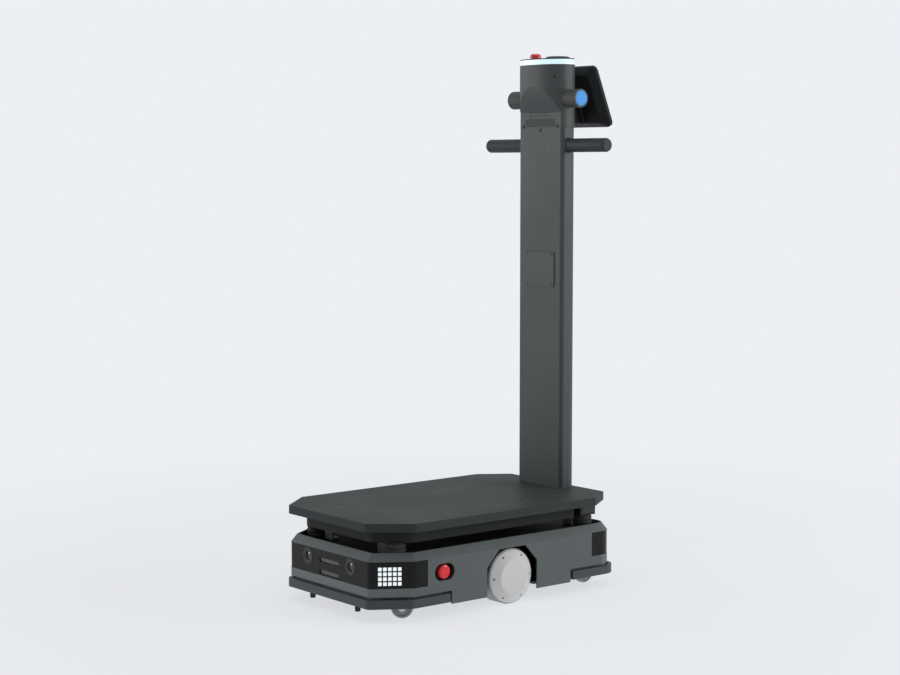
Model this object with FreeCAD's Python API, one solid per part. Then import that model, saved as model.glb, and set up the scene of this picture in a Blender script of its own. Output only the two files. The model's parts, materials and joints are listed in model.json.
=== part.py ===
import FreeCAD, Part
import math
import os

# Autonomous mobile robot: a low eight-sided drive base with a load deck on rubber mounts,
# and a mast at the rear that carries handles, signal lamps, a speaker head and a tablet.
#
# Millimetres. +X is the way it drives, +Y its left, +Z up, z = 0 the floor.
# The pieces are laid out about the middle of the deck. place_origin() then moves them all
# along X, so that the origin lies on the floor under the middle of the whole footprint.

V = FreeCAD.Vector
UP = V(0, 0, 1)
LEFT = V(0, 1, 0)
AHEAD = V(1, 0, 0)

# ---- load deck ----
deck_length = 700.0
deck_width = 445.0
deck_top_z = 224.0
deck_thickness = 19.5
deck_front_cut = (87.0, 73.0)
deck_rear_cut = (73.0, 51.0)
deck_corner_r = 5.0
deck_wall = 3.0
payload_hole_r = 3.3
payload_x = -13.0
payload_spacing_x = 218.0
payload_spacing_y = 270.0
payload_front_x = 250.0
payload_front_spacing_y = 160.0

# ---- deck frame, rubber mounts and legs ----
frame_inset = 35.0
frame_drop = 30.0
frame_corner_r = 40.0
frame_rear_x = -238.0
rear_beam_half = 180.0
frame_wall = 3.0
beam_height = 24.0
beam_width = 48.0
rail_width = 30.0
rail_y = 75.0
mount_r = 23.0
mount_rib = 2.5
mount_places = ((268.0, 154.0), (-290.0, 160.0))
leg_width = 30.0
leg_sheet = 4.0
leg_foot = 18.0
leg_offset_y = 51.0

# ---- body ----
body_front_x = 343.0
body_rear_x = -350.0
body_width = 420.0
body_front_cut = (86.0, 55.0)
body_corner_r = 16.0
body_rear_r = 42.0
body_bottom_z = 27.0
panel_top_z = 137.0
cover_top_z = 155.0
cover_slope_inset = 14.0
cover_sheet_z = 3.0
cover_ledge = 8.0
top_tray_z = 142.0
top_tray_sheet = 3.0
top_tray_gap = 0.3
panel_wall = 4.0
inner_wall = 3.0
band_wall = 4.0
band_sink = 0.8
front_band_bottom_z = 77.0
front_band_back_x = 221.0
rear_band_bottom_z = 80.0
rear_band_front_x = -276.0
pan_bottom_z = 34.0
pan_sheet = 3.0
panel_flange = 26.0

# ---- bumpers ----
bumper_bottom_z = 32.0
bumper_height = 20.0
bumper_gap = 6.0
bumper_wall = 8.0
bumper_proud = 2.0
front_bumper_proud = 6.0
rear_bumper_proud = 13.0
bumper_recess = 12.0
bumper_end_gap = 6.5
front_arm_back_x = 152.0
rear_arm_front_x = -208.0
guide_pin_r = 4.0
guide_pin_length = 20.0
front_pin_y = 84.0
rear_pin_y = 60.0
guide_pin_room = 1.5

# ---- front sensors ----
camera_y = 83.0
camera_z = 115.0
camera_ring_r = 19.0
camera_bore_r = 14.0
camera_proud = 1.2
slot_length = 76.0
slot_height = 10.0
slot_heights_z = (113.5, 85.5)
slot_depth = 9.0
led_columns = 5
led_rows = 4
led_size = 8.0
led_pitch = 11.0
led_depth = 1.5
led_along = 0.448
led_centre_z = 104.7

# ---- emergency stops ----
stop_x = 173.0
stop_z = 103.0
cup_length = 57.0
cup_height = 40.0
cup_depth = 20.0
cup_wall = 1.5
stop_head_r = 16.5
stop_head_height = 14.0
stop_stem_r = 6.0

# ---- drive wheels ----
axle_x = -27.0
wheel_r = 65.0
tyre_width = 42.0
tyre_wall = 7.0
tyre_shoulder = 2.5
wheel_inset = 8.0
hub_wall = 4.0
hub_boss_r = 18.0
cover_r = 62.0
cover_flat_r = 40.0
cover_height = 15.5
cover_sheet = 2.5
arch_half = 76.0
arch_top_half = 40.0
arch_shoulder_z = 95.0
arch_top_z = 134.0
axle_r = 10.0
running_fit = 0.05

# ---- drive suspension ----
pivot_ahead = 95.0
pivot_r = 8.0
arm_thickness = 10.0
arm_height = 24.0
arm_boss_r = 16.0
arm_side_gap = 8.0
seat_behind = 40.0
seat_z = 85.0
seat_thickness = 5.0
seat_width = 34.0
tower_sheet = 4.0
tower_inset = 34.0
side_clearance = 0.3
spring_r = 12.0
spring_wire_r = 1.8
spring_turns = 5
spring_steps = 14
wire_sides = 6

# ---- casters ----
caster_wheel_r = 25.0
caster_wheel_width = 19.0
caster_trail = 18.0
caster_axle_r = 4.0
caster_front = (77.0, 144.0)
caster_rear = (53.0, 138.0)
front_caster_heading = 141.5
rear_caster_heading = 180.0
crown_r = 18.0
crown_gap = 3.0
crown_thickness = 3.5
fork_sheet = 2.5
fork_gap = 1.0
fork_boss_r = 8.5
race_gap = 0.5
race_r = 20.0
race_height = 5.0
kingpin_r = 5.0
caster_plate_size = 60.0
caster_plate_sheet = 3.0
well_r = 47.0
caster_relief = 2.5
hat_sheet = 3.0

# ---- inside the base ----
battery_size = (200.0, 150.0, 72.0)
battery_x = 105.0
control_size = (120.0, 150.0, 60.0)
control_x = -180.0
driver_size = (90.0, 60.0, 30.0)
driver_x = -50.0
driver_y = 50.0

# ---- mast ----
mast_width = 160.0
mast_depth = 52.0
mast_rear_gap = 5.0
mast_front_r = 9.0
mast_rear_r = 28.0
mast_wall = 3.0
mast_top_z = 1100.0
foot_plate = 8.0
foot_margin = 12.0
spigot_height = 70.0
hatch_width = 104.0
hatch_height = 86.0
hatch_z = 758.0
hatch_sheet = 2.0
hatch_lap = 10.0
hatch_corner_r = 6.0

# ---- head ----
head_ahead = 31.0
head_depth = 92.0
head_width = 158.0
head_squareness = 2.5
oval_points = 24
head_top_z = 1252.0
head_wall = 3.0
ring_height = 12.0
ring_wall = 5.0
cap_height = 2.5
cut_turn_z = 1138.0
cut_top_z = 1201.0
cut_bulge = 3.0
cut_runout = 0.6
speaker_inset = 1.2
speaker_sheet = 2.5
speaker_bottom_z = 1103.0
groove_z = (1137.0, 1130.0, 1122.5)
groove_half_lengths = (38.0, 41.0, 42.0)
groove_height = 1.6
eye_y = 63.5
eye_z = 1221.5
eye_r = 5.0
disc_y = 38.0
disc_r = 31.5
disc_height = 5.0
top_stop_y = -43.0
top_stop_r = 13.5
top_stop_height = 16.0

# ---- signal lamps and handles ----
lamp_z = 1170.0
lamp_r = 22.0
lamp_end_y = 122.0
lens_r = 18.5
lens_sheet = 4.0
handle_z = 1058.0
handle_r = 16.5
handle_wall = 2.5
handle_end_y = 199.0
handle_cap = 15.0
collar_r = 18.0
collar_end_y = 86.0

# ---- tablet ----
tablet_width = 200.0
tablet_height = 156.0
tablet_thickness = 24.0
tablet_rim = 8.0
tablet_taper = 16.0
tablet_corner_r = 14.0
tablet_tilt = 22.0
tablet_z = 1174.0
tablet_gap = 2.0
glass_margin = 9.0
glass_sheet = 1.2
bracket_width = 60.0
bracket_plate = 5.0
bracket_bottom_z = 1112.0
bracket_top_z = 1150.0


# ---- values worked out from those above ----
deck_half = deck_length / 2
deck_bottom_z = deck_top_z - deck_thickness
deck_underside_z = deck_top_z - deck_wall
frame_bottom_z = deck_bottom_z - frame_drop
tower_top_z = top_tray_z - top_tray_sheet
body_half = body_width / 2
pan_top_z = pan_bottom_z + pan_sheet
shelf_z = bumper_bottom_z + bumper_height + bumper_gap
bumper_mid_z = bumper_bottom_z + bumper_height / 2
wheel_y = body_half - wheel_inset
wheel_back_y = wheel_y - tyre_width
rim_r = wheel_r - tyre_wall
arm_y = wheel_back_y - arm_side_gap
pivot_x = axle_x + pivot_ahead
tower_y = arm_y - arm_thickness - tower_inset
caster_places = (
    ("front_left", body_front_x - caster_front[0], caster_front[1], front_caster_heading),
    ("front_right", body_front_x - caster_front[0], -caster_front[1], front_caster_heading),
    ("rear_left", body_rear_x + caster_rear[0], caster_rear[1], rear_caster_heading),
    ("rear_right", body_rear_x + caster_rear[0], -caster_rear[1], rear_caster_heading),
)
crown_z = 2 * caster_wheel_r + crown_gap
race_z = crown_z + crown_thickness + race_gap
caster_plate_z = race_z + race_height
hat_z = caster_plate_z + caster_plate_sheet
mast_rear_x = -deck_half + mast_rear_gap
mast_front_x = mast_rear_x + mast_depth
mast_mid_x = (mast_rear_x + mast_front_x) / 2
head_x = mast_rear_x + head_ahead
ring_top_z = head_top_z + ring_height
cap_top_z = ring_top_z + cap_height
rail_x = head_x
tilt = math.radians(tablet_tilt)


# ---- shared shapes ----
def box(x_range, y_range, z_range):
    """A block between two values on each axis."""
    low = V(min(x_range), min(y_range), min(z_range))
    size = V(max(x_range), max(y_range), max(z_range)) - low
    return Part.makeBox(size.x, size.y, size.z, low)


def rod(radius, start, end):
    """A cylinder between two points."""
    along = end - start
    return Part.makeCylinder(radius, along.Length, start, along)


def turned(profile, base, direction):
    """A solid of revolution from (radius, height) points, its axis at base along direction."""
    corners = [V(radius, 0, height) for radius, height in profile]
    face = Part.Face(Part.makePolygon(corners + corners[:1]))
    solid = face.revolve(V(0, 0, 0), UP, 360)
    solid.Placement = FreeCAD.Placement(base, FreeCAD.Rotation(UP, direction))
    return solid


def outline(points, radii, z):
    """A closed flat outline at height z with each corner rounded to its radius."""
    corners = [V(x, y, z) for x, y in points]
    starts = []
    ends = []
    middles = []
    for index, corner in enumerate(corners):
        back = (corners[index - 1] - corner).normalize()
        ahead = (corners[(index + 1) % len(corners)] - corner).normalize()
        half_angle = back.getAngle(ahead) / 2
        reach = radii[index] / math.tan(half_angle)
        bisector = (back + ahead).normalize()
        starts.append(corner + back * reach)
        ends.append(corner + ahead * reach)
        middles.append(corner + bisector * (radii[index] / math.sin(half_angle) - radii[index]))
    edges = []
    for index in range(len(corners)):
        edges.append(Part.Arc(starts[index], middles[index], ends[index]).toShape())
        edges.append(Part.makeLine(ends[index], starts[(index + 1) % len(corners)]))
    return Part.Wire(edges)


def slab(points, radii, z_range):
    """A flat piece with rounded corners between two heights."""
    low, high = z_range
    return Part.Face(outline(points, radii, low)).extrude(V(0, 0, high - low))


def inset(points, distance):
    """The same convex outline, run anticlockwise, with every side moved in by a distance."""
    lines = []
    for index, (x, y) in enumerate(points):
        next_x, next_y = points[(index + 1) % len(points)]
        length = math.hypot(next_x - x, next_y - y)
        inward_x = -(next_y - y) / length
        inward_y = (next_x - x) / length
        lines.append((inward_x, inward_y, inward_x * x + inward_y * y + distance))
    moved = []
    for index, (a, b, c) in enumerate(lines):
        before_a, before_b, before_c = lines[index - 1]
        cross = before_a * b - a * before_b
        moved.append(((before_c * b - c * before_b) / cross, (before_a * c - a * before_c) / cross))
    return moved


def smaller(radii, distance):
    """Corner radii of an outline moved in by a distance."""
    return [max(radius - distance, 1.0) for radius in radii]


def wall(points, radii, outer_inset, inner_inset, z_range):
    """A closed upright wall between two insets of one outline."""
    outside = slab(inset(points, outer_inset), smaller(radii, outer_inset), z_range)
    low, high = z_range
    inside = slab(inset(points, inner_inset), smaller(radii, inner_inset), (low - 1, high + 1))
    return outside.cut(inside)


def mirrored(shape):
    """The same shape on the robot's right."""
    return shape.mirror(V(0, 0, 0), LEFT)


def both_sides(shape):
    """The shape and its mirror image, kept as separate solids."""
    return Part.makeCompound([shape, mirrored(shape)])


def joined(shapes):
    """Several touching shapes as one solid, without leftover seams."""
    return shapes[0].multiFuse(shapes[1:]).removeSplitter()


def obround(length, height, centre, normal, depth):
    """A slot-shaped prism, its length level, that starts at centre and runs along normal."""
    radius = height / 2
    reach = length / 2 - radius
    across = UP.cross(normal).normalize()
    left = centre - across * reach
    right = centre + across * reach
    rise = UP * radius
    edges = [
        Part.makeLine(left + rise, right + rise),
        Part.Arc(right + rise, right + across * radius, right - rise).toShape(),
        Part.makeLine(right - rise, left - rise),
        Part.Arc(left - rise, left - across * radius, left + rise).toShape(),
    ]
    return Part.Face(Part.Wire(edges)).extrude(normal * depth)


# ---- outlines ----
def cut_corner_outline(front_x, rear_x, half_width, front_cut, rear_cut):
    """An eight-sided plan, anticlockwise from the rear right."""
    front_dx, front_dy = front_cut
    rear_dx, rear_dy = rear_cut
    return [
        (rear_x + rear_dx, -half_width),
        (front_x - front_dx, -half_width),
        (front_x, -half_width + front_dy),
        (front_x, half_width - front_dy),
        (front_x - front_dx, half_width),
        (rear_x + rear_dx, half_width),
        (rear_x, half_width - rear_dy),
        (rear_x, -half_width + rear_dy),
    ]


def round_rear_outline(front_x, rear_x, half_width, front_cut):
    """A six-sided plan with cut front corners, anticlockwise from the rear right."""
    front_dx, front_dy = front_cut
    return [
        (rear_x, -half_width),
        (front_x - front_dx, -half_width),
        (front_x, -half_width + front_dy),
        (front_x, half_width - front_dy),
        (front_x - front_dx, half_width),
        (rear_x, half_width),
    ]


deck_plan = cut_corner_outline(deck_half, -deck_half, deck_width / 2, deck_front_cut, deck_rear_cut)
deck_radii = [deck_corner_r] * 8
body_plan = round_rear_outline(body_front_x, body_rear_x, body_half, body_front_cut)
body_radii = [body_rear_r] + [body_corner_r] * 4 + [body_rear_r]
# Behind the bumper the wall stands further in at the front and sides, but not at the rear.
lower_plan = inset(
    round_rear_outline(body_front_x, body_rear_x - bumper_recess, body_half, body_front_cut),
    bumper_recess,
)
front_bumper_plan = round_rear_outline(
    body_front_x + front_bumper_proud, body_rear_x, body_half + bumper_proud, body_front_cut
)
rear_bumper_plan = round_rear_outline(
    body_front_x, body_rear_x - rear_bumper_proud, body_half + bumper_proud, body_front_cut
)
chamfer_back_x = body_front_x - body_front_cut[0]
corner_back_x = body_rear_x + body_rear_r
far = 2 * deck_length
everywhere = (-far, far)


def from_x_up(x):
    """All space ahead of x."""
    return box((x, far), everywhere, everywhere)


def from_x_down(x):
    """All space behind x."""
    return box((-far, x), everywhere, everywhere)


def between_x(rear, front):
    """All space between two values of x."""
    return box((rear, front), everywhere, everywhere)


# ---- chassis ----
def chassis_pan():
    """Folded floor with openings for the drive wheels and casters and two stiffening rails."""
    plan = inset(lower_plan, inner_wall)
    floor = slab(plan, smaller(body_radii, bumper_recess), (pan_bottom_z, pan_top_z))
    rail_rear_x = body_rear_x + caster_rear[0] + well_r + hat_sheet
    rail_front_x = body_front_x - caster_front[0] - well_r - hat_sheet
    rail = joined([
        box((rail_rear_x, rail_front_x), (92, 95), (pan_top_z, pan_top_z + 22)),
        box((rail_rear_x, rail_front_x), (84, 95), (pan_top_z + 22, pan_top_z + 25)),
    ])
    pan = joined([floor, rail, mirrored(rail)])
    well = box((axle_x - arch_half - 2, axle_x + arch_half + 2), (tower_y + 20, far), everywhere)
    pan = pan.cut(well).cut(mirrored(well))
    for _, x, y, _ in caster_places:
        pan = pan.cut(rod(well_r, V(x, y, 0), V(x, y, hat_z)))
    return pan


def caster_bridges():
    """Two folded cross members that carry the caster plates above their wells."""
    inside = slab(inset(lower_plan, panel_wall), smaller(body_radii, bumper_recess), (0, panel_top_z))
    bridges = []
    for x in (caster_places[0][1], caster_places[2][1]):
        reach = well_r + hat_sheet
        top = box((x - reach, x + reach), everywhere, (hat_z, hat_z + hat_sheet))
        legs = [
            box((x - reach, x - well_r), everywhere, (pan_top_z, hat_z)),
            box((x + well_r, x + reach), everywhere, (pan_top_z, hat_z)),
        ]
        bridge = joined([top] + legs).common(inside)
        for _, caster_x, caster_y, _ in caster_places:
            bridge = bridge.cut(rod(kingpin_r + 3, V(caster_x, caster_y, 0), V(caster_x, caster_y, far)))
        for pin_y in (-rear_pin_y, rear_pin_y, -front_pin_y, front_pin_y):
            start = V(-far, pin_y, bumper_mid_z)
            bridge = bridge.cut(rod(guide_pin_r + guide_pin_room, start, start + AHEAD * 2 * far))
        bridges.append(bridge)
    return Part.makeCompound(bridges)


def drive_towers():
    """Two upright plates that carry the arm pivots and the tops of the springs."""
    rear_x = axle_x - seat_behind - seat_width
    front_x = pivot_x + arm_boss_r
    plate = box((rear_x, front_x), (tower_y, tower_y + tower_sheet), (pan_top_z, tower_top_z))
    top_front_x = axle_x - seat_behind + seat_width / 2 + 4
    roof = box((rear_x, top_front_x), (tower_y, arm_y), (tower_top_z - tower_sheet, tower_top_z))
    boss = rod(
        arm_boss_r,
        V(pivot_x, tower_y, wheel_r),
        V(pivot_x, arm_y - arm_thickness - side_clearance, wheel_r),
    )
    bore = rod(pivot_r, V(pivot_x, tower_y - 1, wheel_r), V(pivot_x, arm_y, wheel_r))
    window = box((axle_x - 20, pivot_x - 35), (tower_y - 1, tower_y + tower_sheet + 1), (60, 120))
    return both_sides(joined([plate, roof, boss]).cut(bore).cut(window))


def arm_pins():
    """The two pins on which the drive arms swing, with a head at the outer end."""
    pin = rod(pivot_r, V(pivot_x, tower_y, wheel_r), V(pivot_x, arm_y + side_clearance, wheel_r))
    head = rod(
        pivot_r + 3,
        V(pivot_x, arm_y + side_clearance, wheel_r),
        V(pivot_x, arm_y + side_clearance + 3, wheel_r),
    )
    return both_sides(joined([pin, head]))


def battery_pack():
    """Battery with a raised lid and a cut-away carrying grip."""
    length, width, height = battery_size
    top = pan_top_z + height
    case = box((battery_x - length / 2, battery_x + length / 2), (-width / 2, width / 2), (pan_top_z, top))
    lid = box(
        (battery_x - length / 2 + 6, battery_x + length / 2 - 6),
        (-width / 2 + 6, width / 2 - 6),
        (top, top + 4),
    )
    grip = box((battery_x - 15, battery_x + 15), (-width / 2 + 20, width / 2 - 20), (top - 8, top + 5))
    return joined([case, lid]).cut(grip)


def control_box():
    """Main computer: a flat case with cooling fins on its lid."""
    length, width, height = control_size
    top = pan_top_z + height
    case = box((control_x - length / 2, control_x + length / 2), (-width / 2, width / 2), (pan_top_z, top))
    fins = []
    fin_x = (control_x - length / 2 + 8, control_x + length / 2 - 8)
    for index in range(6):
        y = -width / 2 + 15 + index * 24
        fins.append(box(fin_x, (y, y + 4), (top, top + 10)))
    return joined([case] + fins)


def motor_drivers():
    """One motor driver for each drive wheel."""
    length, width, height = driver_size
    driver = box(
        (driver_x - length / 2, driver_x + length / 2),
        (driver_y - width / 2 + 10, driver_y + width / 2),
        (pan_top_z, pan_top_z + height),
    )
    return both_sides(driver)


# ---- body skin ----
def lower_skin(rear, front):
    """The stretch of wall behind a bumper, with the shelf that closes the slot above it."""
    low = pan_bottom_z - 4
    back = slab(lower_plan, smaller(body_radii, bumper_recess), (low, shelf_z + inner_wall))
    hollow = slab(
        inset(lower_plan, inner_wall), smaller(body_radii, bumper_recess + inner_wall), (low - 1, far)
    )
    roof = slab(body_plan, body_radii, (shelf_z, shelf_z + inner_wall))
    return joined([back, roof]).cut(hollow).common(between_x(rear, front))


def upper_skin(z_range):
    """The outer wall of the body between two heights."""
    return wall(body_plan, body_radii, 0, panel_wall, z_range)


def arch_cutter():
    """The six-sided wheel arch, open at the bottom."""
    points = [
        (axle_x - arch_half, 0),
        (axle_x + arch_half, 0),
        (axle_x + arch_half, arch_shoulder_z),
        (axle_x + arch_top_half, arch_top_z),
        (axle_x - arch_top_half, arch_top_z),
        (axle_x - arch_half, arch_shoulder_z),
    ]
    corners = [V(x, 0, z) for x, z in points]
    return Part.Face(Part.makePolygon(corners + corners[:1])).extrude(V(0, far, 0))


def side_panel():
    """Left side panel: wheel arch, stop button recess, and slots for both bumpers' arms."""
    left_half = box(everywhere, (0, far), everywhere)
    upper = upper_skin((shelf_z, panel_top_z)).common(between_x(rear_band_front_x, front_band_back_x))
    front_low = upper_skin((shelf_z, front_band_bottom_z)).common(
        between_x(front_band_back_x - 1, chamfer_back_x)
    )
    rear_low = upper_skin((shelf_z, rear_band_bottom_z)).common(
        between_x(corner_back_x, rear_band_front_x + 1)
    )
    middle = upper_skin((body_bottom_z, shelf_z + 1)).common(
        between_x(rear_arm_front_x, front_arm_back_x)
    )
    flange = wall(body_plan, body_radii, 1, panel_flange, (pan_top_z, pan_top_z + inner_wall)).common(
        between_x(rear_arm_front_x, front_arm_back_x)
    )
    pieces = [
        upper,
        front_low,
        rear_low,
        middle,
        flange,
        lower_skin(front_arm_back_x - inner_wall, chamfer_back_x),
        lower_skin(corner_back_x, rear_arm_front_x + inner_wall),
    ]
    web_y = (body_half - bumper_recess - inner_wall, body_half - 1)
    web_z = (pan_bottom_z - 4, shelf_z + 1)
    pieces.append(box((front_arm_back_x - inner_wall, front_arm_back_x), web_y, web_z))
    pieces.append(box((rear_arm_front_x, rear_arm_front_x + inner_wall), web_y, web_z))
    skin = joined([piece.common(left_half) for piece in pieces])
    recess = obround(cup_length, cup_height, V(stop_x, body_half - 30, stop_z), LEFT, 60)
    return skin.cut(arch_cutter()).cut(recess)


def front_skirt():
    """Front skin below the sensor band, bored for the guide pins and relieved for both casters."""
    skirt = joined([
        upper_skin((shelf_z, front_band_bottom_z)).common(from_x_up(chamfer_back_x)),
        lower_skin(chamfer_back_x, far),
    ])
    for y in (-front_pin_y, front_pin_y):
        skirt = skirt.cut(rod(guide_pin_r + running_fit, V(0, y, bumper_mid_z), V(far, y, bumper_mid_z)))
    for _, x, y, _ in caster_places[:2]:
        skirt = skirt.cut(rod(well_r, V(x, y, 0), V(x, y, 2 * caster_wheel_r + caster_relief)))
    return skirt


def rear_skirt():
    """Rear skin below the rear band, bored for the bumper's guide pins."""
    skirt = joined([
        upper_skin((shelf_z, rear_band_bottom_z)).common(from_x_down(corner_back_x)),
        lower_skin(-far, corner_back_x),
    ])
    for y in (-rear_pin_y, rear_pin_y):
        skirt = skirt.cut(rod(guide_pin_r + running_fit, V(0, y, bumper_mid_z), V(-far, y, bumper_mid_z)))
    return skirt


def chamfer_frame():
    """Origin, outward normal and forward direction of the left front chamfer's band face."""
    dx, dy = body_front_cut
    ahead = V(dx, -dy, 0).normalize()
    normal = V(dy, dx, 0).normalize()
    centre = V(body_front_x - dx * led_along, body_half - dy * (1 - led_along), led_centre_z)
    return centre - normal * band_sink, normal, ahead


def led_blocks(grow):
    """The lamp squares of the left matrix; grow enlarges them to cut their pockets."""
    face, normal, ahead = chamfer_frame()
    blocks = []
    side = led_size + 2 * grow
    for column in range(led_columns):
        for row in range(led_rows):
            along = (column - (led_columns - 1) / 2) * led_pitch
            rise = (row - (led_rows - 1) / 2) * led_pitch
            middle = face + ahead * along + UP * rise - normal * (led_depth - 0.4)
            corner = middle - ahead * side / 2 - UP * side / 2
            points = [corner, corner + ahead * side, corner + ahead * side + UP * side, corner + UP * side]
            blocks.append(Part.Face(Part.makePolygon(points + points[:1])).extrude(normal * led_depth))
    return blocks


def front_sensor_band():
    """Dark band round the front: camera bores, two sensor slots and pockets for the lamps."""
    band = wall(
        body_plan, body_radii, band_sink, band_sink + band_wall, (front_band_bottom_z, panel_top_z)
    ).common(from_x_up(front_band_back_x))
    for y in (-camera_y, camera_y):
        band = band.cut(rod(camera_bore_r, V(0, y, camera_z), V(far, y, camera_z)))
    for z in slot_heights_z:
        band = band.cut(obround(slot_length, slot_height, V(body_front_x - 30, 0, z), AHEAD, 60))
    pockets = Part.makeCompound(led_blocks(0))
    return band.cut(pockets).cut(mirrored(pockets))


def led_matrices():
    """The square lamps on both front chamfers."""
    return both_sides(Part.makeCompound(led_blocks(0)))


def front_cameras():
    """Two camera modules, each a stepped barrel with a raised ring round its lens."""
    face_x = body_front_x - band_sink
    profile = [
        (0, -30),
        (12, -30),
        (12, -8),
        (camera_bore_r, -8),
        (camera_bore_r, 0),
        (camera_ring_r, 0),
        (camera_ring_r - 1, camera_proud),
        (camera_bore_r - 0.5, camera_proud),
        (9, -4),
        (0, -4),
    ]
    return both_sides(turned(profile, V(face_x, camera_y, camera_z), AHEAD))


def slot_sensors():
    """Two range sensors that look out through the slots, on one back plate."""
    bars = []
    back_x = body_front_x - band_sink - band_wall - slot_depth
    for z in slot_heights_z:
        bars.append(obround(slot_length - 2, slot_height - 2, V(back_x, 0, z), AHEAD, slot_depth + 1))
    plate = box((back_x - 4, back_x), (-slot_length / 2, slot_length / 2), (front_band_bottom_z, 125))
    return joined([plate] + bars)


def rear_sensor_band():
    """Dark band round the rear corners and the back."""
    return wall(
        body_plan, body_radii, band_sink, band_sink + band_wall, (rear_band_bottom_z, panel_top_z)
    ).common(from_x_down(rear_band_front_x))


def cover_opening(z_range, distance):
    """The space inside the top cover's crest, moved in by a distance."""
    total = cover_slope_inset + cover_sheet_z + distance
    return slab(inset(body_plan, total), smaller(body_radii, total), z_range)


def top_cover():
    """Sloping rim round the top of the base, folded down inside to a ledge for the tray."""

    def ring(distance, z):
        return outline(inset(body_plan, distance), smaller(body_radii, distance), z)

    slope = Part.makeLoft([ring(0, panel_top_z), ring(cover_slope_inset, cover_top_z)], True, True)
    rise = cover_top_z - panel_top_z
    sheet = cover_sheet_z * math.hypot(cover_slope_inset, rise) / rise
    hollow_top_z = cover_top_z - sheet * rise / cover_slope_inset
    hollow = Part.makeLoft(
        [ring(sheet, panel_top_z), ring(cover_slope_inset, hollow_top_z)], True, True
    ).cut(cover_opening(everywhere, -cover_sheet_z))
    tray_bottom_z = top_tray_z - top_tray_sheet
    rim = slope.cut(hollow).cut(cover_opening((tray_bottom_z, cover_top_z + 1), 0))
    return rim.cut(cover_opening((panel_top_z - 1, tray_bottom_z + 1), cover_ledge))


def top_tray():
    """Sunk sheet that closes the base inside the cover's rim and carries the deck's mounts."""
    return cover_opening((top_tray_z - top_tray_sheet, top_tray_z), top_tray_gap)


# ---- bumpers ----
def bumper(plan, rear, front, pin_x, pin_y, inner_x):
    """A bent strip with two guide pins behind it."""
    top = bumper_bottom_z + bumper_height
    strip = wall(plan, body_radii, 0, bumper_wall, (bumper_bottom_z, top)).common(between_x(rear, front))
    pins = []
    for y in (-pin_y, pin_y):
        pins.append(rod(guide_pin_r, V(inner_x, y, bumper_mid_z), V(pin_x, y, bumper_mid_z)))
    return joined([strip] + pins)


def front_bumper():
    """Contact strip across the front, its ends reaching back along both sides."""
    inner_x = body_front_x + front_bumper_proud - bumper_wall / 2
    end_x = front_arm_back_x + bumper_end_gap
    return bumper(front_bumper_plan, end_x, far, inner_x - guide_pin_length, front_pin_y, inner_x)


def rear_bumper():
    """Contact strip across the back, its ends reaching forward along both sides."""
    inner_x = body_rear_x - rear_bumper_proud + bumper_wall / 2
    end_x = rear_arm_front_x - bumper_end_gap
    return bumper(rear_bumper_plan, -far, end_x, inner_x + guide_pin_length, rear_pin_y, inner_x)


# ---- emergency stops ----
def stop_cups():
    """Recessed cups in the side panels, each with a bore for its button's stem."""
    outer_y = body_half - band_sink
    start = V(stop_x, outer_y - cup_depth, stop_z)
    cup = obround(cup_length, cup_height, start, LEFT, cup_depth)
    hollow = obround(
        cup_length - 2 * cup_wall, cup_height - 2 * cup_wall, start + LEFT * 2, LEFT, cup_depth
    )
    neck = rod(stop_stem_r + 4, start - LEFT * 8, start)
    bore = rod(stop_stem_r + running_fit, start - LEFT * 10, start + LEFT * 10)
    return both_sides(joined([cup.cut(hollow), neck]).cut(bore))


def mushroom(head_r, head_height, stem_length, base, direction):
    """A push button with a rounded head; base is where its stem meets the head."""
    profile = [
        (0, -stem_length),
        (stop_stem_r, -stem_length),
        (stop_stem_r, 0),
        (head_r - 2.5, 0),
        (head_r, 2.5),
        (head_r, head_height - 5),
        (head_r - 1.5, head_height - 2),
        (head_r - 4.5, head_height - 0.4),
        (0, head_height),
    ]
    return turned(profile, base, direction)


def side_stop_button():
    """Left emergency stop button."""
    base_y = body_half + 1.5 - stop_head_height
    return mushroom(stop_head_r, stop_head_height, 26, V(stop_x, base_y, stop_z), LEFT)


def top_stop_button():
    """Emergency stop button on top of the head."""
    base_z = cap_top_z - 1.0
    return mushroom(top_stop_r, top_stop_height, 16, V(head_x, top_stop_y, base_z), UP)


# ---- drive wheels, left side ----
def drive_tyre():
    """Rubber tread with rounded shoulders."""
    shoulder = tyre_shoulder
    profile = [
        (rim_r, 0),
        (wheel_r - shoulder, 0),
        (wheel_r - 0.7, 0.7),
        (wheel_r, shoulder),
        (wheel_r, tyre_width - shoulder),
        (wheel_r - 0.7, tyre_width - 0.7),
        (wheel_r - shoulder, tyre_width),
        (rim_r, tyre_width),
    ]
    return turned(profile, V(axle_x, wheel_back_y, wheel_r), LEFT)


def drive_hub():
    """Rotor drum of the hub motor, closed on the outside, with its bearing boss."""
    bore = axle_r + running_fit
    profile = [
        (rim_r, 0),
        (rim_r, tyre_width - 2),
        (0, tyre_width - 2),
        (0, tyre_width - 10),
        (bore, tyre_width - 10),
        (bore, 4),
        (hub_boss_r, 4),
        (hub_boss_r, tyre_width - 2 - hub_wall),
        (rim_r - hub_wall, tyre_width - 2 - hub_wall),
        (rim_r - hub_wall, 0),
    ]
    return turned(profile, V(axle_x, wheel_back_y, wheel_r), LEFT)


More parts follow.
